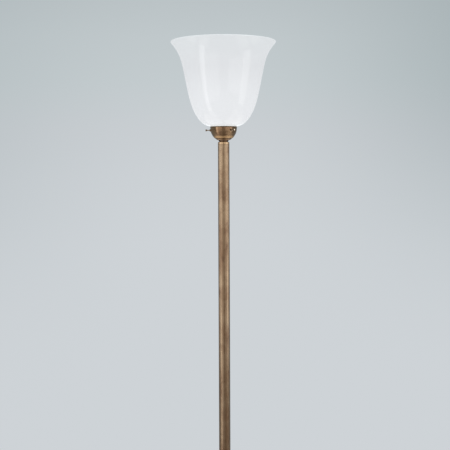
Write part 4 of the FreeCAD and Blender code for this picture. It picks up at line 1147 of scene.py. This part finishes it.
@dataclass
class SubAssembly:
    """Part of the lamp: the frame's nodes that belong to it and the pieces made for it."""

    nodes: dict[str, bpy.types.Object]

    def paint(self, finish: Finish, *names: str) -> None:
        """Gives nodes of the frame a finish.

        Args:
            finish: Their finish.
            names: The nodes.
        """
        material = finish.material()
        for name in names:
            mesh = self.nodes[name].data
            mesh.materials.clear()
            mesh.materials.append(material)
        LOG.info("%s on %s", material.name, ", ".join(names))

    def add(self, piece: bpy.types.Object, finish: Finish, body: str, slot: str, replaced: str) -> None:
        """Hands a new piece to the frame.

        Args:
            piece: The finished piece.
            finish: Its finish.
            body: The body that it moves with.
            slot: Not used.
            replaced: The frame's node that it stands for.
        """
        piece.data.materials.clear()
        piece.data.materials.append(finish.material())
        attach(piece, body)
        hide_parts(replaced)
        LOG.info("%s: %d faces on %s", piece.name, len(piece.data.polygons), body)


@dataclass
class Foot(SubAssembly):
    """Weighted foot with its fasteners, wiring block and felt."""

    def build(self) -> None:
        """Dresses the foot's nodes."""
        spun = Brass("antique_brass_spun", Lay.TURNED_DOWN, pitch=0.9)
        self.paint(spun, "foot_cover", "foot_collar")
        self.paint(CastIron(), "foot_weight")
        self.paint(Felt(), "foot_pad")
        self.paint(
            Metal("zinc_plated", *ZINC_TONES, 0.32),
            "foot_stud", "foot_washer", "foot_lock_washer", "foot_nut", "earth_screw", "earth_tag",
            "terminal_screws",
        )
        self.paint(Moulded("rubber_black", JET, 0.42, gloss=0.1), "cable_bush")
        self.paint(Moulded("white_plastic_moulded", srgb(226, 224, 216), 0.42), "terminal_block")
        self.paint(Moulded("insulation_brown", srgb(92, 52, 30), 0.38), "live_wire")
        self.paint(Moulded("insulation_blue", srgb(30, 92, 168), 0.38), "neutral_wire")
        self.paint(Moulded("insulation_earth", srgb(96, 158, 44), 0.38), "earth_lead")
        self.paint(PLAIN_BRASS, "terminal_clamps")


@dataclass
class Pole(SubAssembly):
    """Two tubes, the plugs of their joint and the turned cap."""

    def build(self) -> None:
        """Dresses the pole's nodes."""
        self.paint(Brass("antique_brass_drawn", Lay.DRAWN, depth=0.03), "upper_pole", "lower_pole")
        # The hollow darkens the cap's groove under the shoulder: dirt and painted shade.
        cap = Brass(
            "antique_brass_cap", Lay.TURNED_UP, srgb(222, 190, 150), srgb(104, 78, 56),
            pitch=0.5, smooth=0.05, rough=0.12, hollow=12.8,
        )
        self.paint(cap, "pole_cap")
        self.paint(PLAIN_BRASS, "pole_foot_plug", "joint_lower_plug", "joint_upper_plug")


@dataclass
class Gallery(SubAssembly):
    """Spun bowl with turned lines and a rolled lip, its bushes, and three knurled thumb screws.

    Attributes:
        wall: Thickness of the bowl's sheet.
        bead: Radius of the lip's roll.
        straight: Height of the side above the round part.
        flat_radius: Radius of the flat underside.
        hole_radius: Radius of the hole in it.
        chamfer: Width of the edges broken off underneath and inside the lip.
        line_depth: Depth of the turned lines.
        line_pitch: Distance from line to line along the side.
        line_fades: Lengths over which the lines begin at the underside and end at the lip.
        ring_depth: Depth of the groove near the underside.
        ring_width: Its width.
        ring_at: Its place along the side.

    Of the others, the steps are numbers of segments, and the rest are sizes of the bushes' holes and of the
    thumb screws.
    """

    wall: float = 1.0
    bead: float = 0.9
    straight: float = 4.0
    flat_radius: float = 14.7
    hole_radius: float = 5.3
    chamfer: float = 0.3
    line_depth: float = 0.16
    line_pitch: float = 2.3
    line_fades: tuple[float, float] = (3.0, 2.0)
    ring_depth: float = 0.4
    ring_width: float = 0.7
    ring_at: float = 6.0
    outer_steps: int = 150
    inner_steps: int = 24
    bead_steps: int = 12
    bowl_steps: int = 144
    thread_steps: int = 24
    bush_hole_radius: float = 2.55
    thread_radius: float = 1.5
    thread_root: float = 1.2
    thread_pitch: float = 0.5
    thread_length: float = 7.0
    neck_radius: float = 1.15
    head_length: float = 3.4
    head_radius: float = 2.4
    knurl_count: int = 26
    knurl_depth: float = 0.14

    def _bowl_line(self, radius: float, low: float, lip: float) -> list[tuple[float, float]]:
        """The bowl's outline, up its outside, over the lip and down its inside.

        Args:
            radius: Outer radius of the round wall.
            low: Height of its underside.
            lip: Height of the lip's top.

        Returns:
            Its (radius, height) points.
        """
        centre = lip - self.straight
        flat = math.acos(self.flat_radius / radius)
        begin, end = self.line_fades
        points = [(self.hole_radius, low), (self.flat_radius - self.chamfer, low)]
        for k in range(self.outer_steps + 1):
            angle = -flat * (1 - k / self.outer_steps)
            along = radius * (angle + flat)
            share = min(1.0, along / begin, (radius * flat - along) / end)
            groove = max(0.0, math.sin(FULL_TURN * along / self.line_pitch)) ** 3
            at = radius - self.line_depth * groove * max(share, 0.0)
            at -= self.ring_depth * math.exp(-(((along - self.ring_at) / self.ring_width) ** 2))
            points.append((at * math.cos(angle), centre + at * math.sin(angle)))
        middle = lip - self.bead
        for k in range(self.bead_steps + 1):
            angle = math.radians(180 * k / self.bead_steps - 90)
            points.append((radius + self.bead * math.cos(angle), middle + self.bead * math.sin(angle)))
        inner = radius - self.wall
        points += [(inner + self.chamfer, lip), (inner, lip - self.chamfer), (inner, centre)]
        turn = math.asin((centre - low - self.wall) / inner)
        for k in range(1, self.inner_steps + 1):
            angle = -turn * k / self.inner_steps
            points.append((inner * math.cos(angle), centre + inner * math.sin(angle)))
        return [*points, (self.hole_radius, low + self.wall)]

    def _bowl(self) -> None:
        """Spins the bowl and bores the holes of its bushes."""
        low, high = (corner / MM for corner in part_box("gallery_cup"))
        line = self._bowl_line(high.x - self.bead, low.z, high.z)
        bowl = Bench.turned("gallery_bowl", line, self.bowl_steps)
        for number in SCREWS:
            azimuth, height, _, _ = self._screw_place(number)
            Bench.clear()
            bpy.ops.mesh.primitive_cylinder_add(vertices=48, radius=self.bush_hole_radius * MM, depth=0.03)
            drill = bpy.context.object
            with Bench.editing(drill):
                bpy.ops.transform.translate(value=(0, 0, high.x * MM))
            Bench.laid(drill, azimuth, height)
            Bench.applied(bowl, "BOOLEAN", operation="DIFFERENCE", object=drill, solver="EXACT")
            bpy.data.objects.remove(drill)
        Bench.smooth(bowl, 28.0)
        self.add(bowl, self._bowl_finish(low.z, high.z), "lamp_stand", "antique_brass", "gallery_cup")

    def _bowl_finish(self, low: float, lip: float) -> Brass:
        """The bowl's brass: greenish at the lip, a painted highlight underneath and a painted reflection band
        at the belly, a painted shade band between them, and dirt with painted shade on its flat underside.

        Args:
            low: Height of its underside.
            lip: Height of the lip's top.

        Returns:
            The finish.
        """
        return Brass(
            "antique_brass_bowl", Lay.TURNED_UP, srgb(186, 156, 118), srgb(122, 88, 64), srgb(66, 44, 33),
            # The hollow darkens the flat underside with dirt and painted shade.
            smooth=0.14, rough=0.27, hollow=self.flat_radius - 0.8, satin=0.2,
            bands=(
                (lip - 2.0, lip + 9.0, srgb(106, 90, 58), 1.0),
                # Painted highlight underneath, painted shade band above it, and a painted reflection band at
                # the belly.
                (low - 9.0, low + 1.7, srgb(216, 188, 160), 0.7),
                (low + 2.0, low + 3.6, srgb(84, 60, 45), 0.9),
                (low + 4.6, low + 9.6, srgb(232, 196, 150), 0.7),
            ),
        )

    def _screw_place(self, number: int) -> tuple[float, float, float, float]:
        """Measures a thumb screw of the frame.

        Args:
            number: Which of the three.

        Returns:
            Its direction in radians, and its axis's height, its inner end and its outer end in millimetres.
        """
        points = [vertex.co for vertex in self.nodes[f"thumb_screw_{number}"].data.vertices]
        middle = sum(points, Vector()) / len(points)
        azimuth = math.atan2(middle.y, middle.x)
        way = Vector((math.cos(azimuth), math.sin(azimuth), 0.0))
        reach = [point.dot(way) / MM for point in points]
        low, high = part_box(f"thumb_screw_{number}")
        return azimuth, (low.z + high.z) / 2 / MM, min(reach), max(reach)

    def _screw(self, number: int) -> None:
        """Makes a thumb screw: an M3 thread, a slender neck and a knurled, domed head.

        Args:
            number: Which of the three.
        """
        azimuth, height, start, end = self._screw_place(number)
        pitch, root, crest = self.thread_pitch, self.thread_root, self.thread_radius - 0.01
        ridge = [(root, 0.0), (root, 0.06), (crest, 0.22), (crest, 0.28), (root, 0.44), (root, pitch)]
        thread_end = start + self.thread_length
        name = f"thumb_screw_thread_{number}"
        thread = Bench.threaded(name, ridge, start + 0.35, thread_end - 0.3, self.thread_steps)
        head, neck, rim = end - self.head_length, self.neck_radius, self.head_radius
        core = [
            (0.0, start), (root - 0.25, start), (root, start + 0.3), (root + 0.02, start + 0.4),
            (root + 0.02, thread_end - 0.4), (crest - 0.05, thread_end - 0.25), (crest, thread_end - 0.1),
            (crest - 0.08, thread_end), (neck, thread_end + 0.4), (neck, head - 0.15), (neck + 0.12, head),
            (rim - 0.5, head), (rim - 0.04, head + 0.42), (rim, head + 0.55), (rim, end - 0.95),
            (rim - 0.05, end - 0.85), (rim - 0.3, end - 0.5), (rim - 0.8, end - 0.22),
            (rim - 1.5, end - 0.05), (0.0, end),
        ]
        screw = Bench.turned(f"thumb_screw_fine_{number}", core, 2 * self.knurl_count)
        band_low, band_high = head + 0.5, end - 0.9

        def in_band(middle: Vector, normal: Vector) -> bool:
            """Whether a face is one of the band's columns to sink."""
            column = int((math.atan2(middle.y, middle.x) % FULL_TURN) / FULL_TURN * 2 * self.knurl_count)
            return band_low < middle.z < band_high and abs(normal.z) < 0.3 and column % 2 == 0

        Bench.pick(screw, in_band)
        with Bench.editing_faces(screw):
            bpy.ops.mesh.inset(thickness=0.03 * MM, depth=-self.knurl_depth * MM, use_individual=True)
        Bench.join(screw, thread)
        Bench.laid(screw, azimuth, height)
        Bench.smooth(screw, 30.0)
        # The domed end is rubbed bright and carries a painted highlight.
        finish = Brass(
            "antique_brass_screw", Lay.BRIGHT, srgb(176, 150, 120), srgb(56, 45, 38), smooth=0.10, rough=0.22,
            tip=end - 0.6,
        )
        self.add(screw, finish, f"thumb_screw_{number}", "antique_brass", f"thumb_screw_{number}")

    def build(self) -> None:
        """Makes the bowl and screws, and dresses the rest."""
        self._bowl()
        for number in SCREWS:
            self._screw(number)
        self.paint(Brass("antique_brass_bush", Lay.BRIGHT, browned=srgb(92, 72, 54)), "gallery_bushes")
        # The hollow darkens the ring's inner part with dirt and painted shade.
        turned = Brass(
            "antique_brass_ring", Lay.TURNED_UP, srgb(126, 100, 78), srgb(92, 68, 52), age=0.6, hollow=11.0
        )
        self.paint(turned, "gallery_ring")
        self.paint(PLAIN_BRASS, "gallery_nipple", "gallery_nut")
        self.paint(Metal("zinc_washer", *ZINC_TONES, 0.32), "gallery_lock_washer")
        self.paint(Moulded("nylon_soft", srgb(228, 226, 214), 0.5), *(f"screw_tip_{k}" for k in SCREWS))


@dataclass
class Holder(SubAssembly):
    """Screw lampholder."""

    def build(self) -> None:
        """Dresses the lampholder's nodes."""
        moulded = Moulded("black_plastic_moulded", JET, 0.34, gloss=0.2)
        self.paint(moulded, "holder_cap", "holder_sleeve")
        fired = Moulded("porcelain_fired", srgb(236, 234, 226), 0.22, grain=180.0, depth=0.03, gloss=0.5)
        self.paint(fired, "holder_insert")
        self.paint(PLAIN_BRASS, "holder_contact", "holder_terminals", "holder_shell")


@dataclass
class Bulb(SubAssembly):
    """Bulb with a rolled screw cap."""

    pitch: float = 3.63
    root: float = 12.2
    sheet: float = 0.35
    skirt: float = 4.0
    steps: int = 64

    def _cap(self) -> None:
        """Rolls the cap: a helical thread in sheet metal and a plain skirt above it."""
        low, high = (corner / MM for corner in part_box("bulb_cap"))
        crest = high.x - 0.02
        swell = crest - self.root
        parts, raised = 12, 10
        ridge = [
            (self.root + swell * math.sin(math.pi * min(k / raised, 1.0)) ** 0.8, self.pitch * k / parts)
            for k in range(parts + 1)
        ]
        top = high.z - self.skirt
        cap = Bench.threaded("bulb_cap_rolled", ridge, low.z + 0.02, top + 0.3, self.steps)
        root, inside = self.root, crest - self.sheet
        skirt_line = [
            (root - 0.02, top), (root + 0.25, top + 0.5), (crest - 0.15, top + 0.9), (crest, top + 1.1),
            (crest, high.z - 0.1), (crest - 0.1, high.z), (inside, high.z), (inside, top + 1.3),
            (root - self.sheet, top + 0.2), (root - self.sheet, top),
        ]
        skirt = Bench.turned("bulb_cap_skirt", skirt_line, self.steps)
        Bench.applied(cap, "SOLIDIFY", thickness=self.sheet * MM, offset=-1.0, use_rim=True)
        Bench.join(cap, skirt)
        Bench.smooth(cap, 40.0)
        finish = Metal("plated_cap_rolled", srgb(206, 204, 196), srgb(176, 172, 160), 0.26)
        self.add(cap, finish, "bulb", "plated_cap", "bulb_cap")

    def build(self) -> None:
        """Makes the cap and dresses the rest."""
        self._cap()
        self.paint(ClearGlass(), "bulb_glass", "bulb_stem")
        pressed = Moulded("black_glass_pressed", (0.010, 0.010, 0.014), 0.12, grain=200.0, gloss=0.6)
        self.paint(pressed, "bulb_insulator")
        self.paint(Metal("solder_dull", srgb(168, 168, 166), srgb(140, 140, 138), 0.45), "bulb_contact")
        self.paint(Metal("support_wire", *ZINC_TONES), "bulb_supports")
        self.paint(Phosphor(), "bulb_filaments")


@dataclass
class Shade(SubAssembly):
    """Opal glass bell."""

    def build(self) -> None:
        """Dresses the bell."""
        low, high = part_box("glass_shade")
        self.paint(OpalGlass(low.z, high.z), "glass_shade")


class Lamp:
    """The whole lamp on its frame."""

    def __init__(self) -> None:
        """Loads the frame and measures it."""
        self.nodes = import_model()["nodes"]
        self.low, self.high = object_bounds()

    def build(self) -> None:
        """Builds and dresses each sub-assembly from the foot up."""
        for kind in (Foot, Pole, Gallery, Holder, Bulb, Shade):
            kind(self.nodes).build()
            LOG.info("%s done", kind.__name__.lower())


def main() -> None:
    """Builds the lamp and its studio."""
    logging.basicConfig(level=logging.INFO, format="%(name)s: %(message)s")
    lamp = Lamp()
    lamp.build()
    Studio(mirrors=[lamp.nodes[name] for name in ("upper_pole", "lower_pole", "pole_cap")]).build()
    bpy.context.scene.view_settings.view_transform = "Standard"


if __name__ == "__main__":
    main()
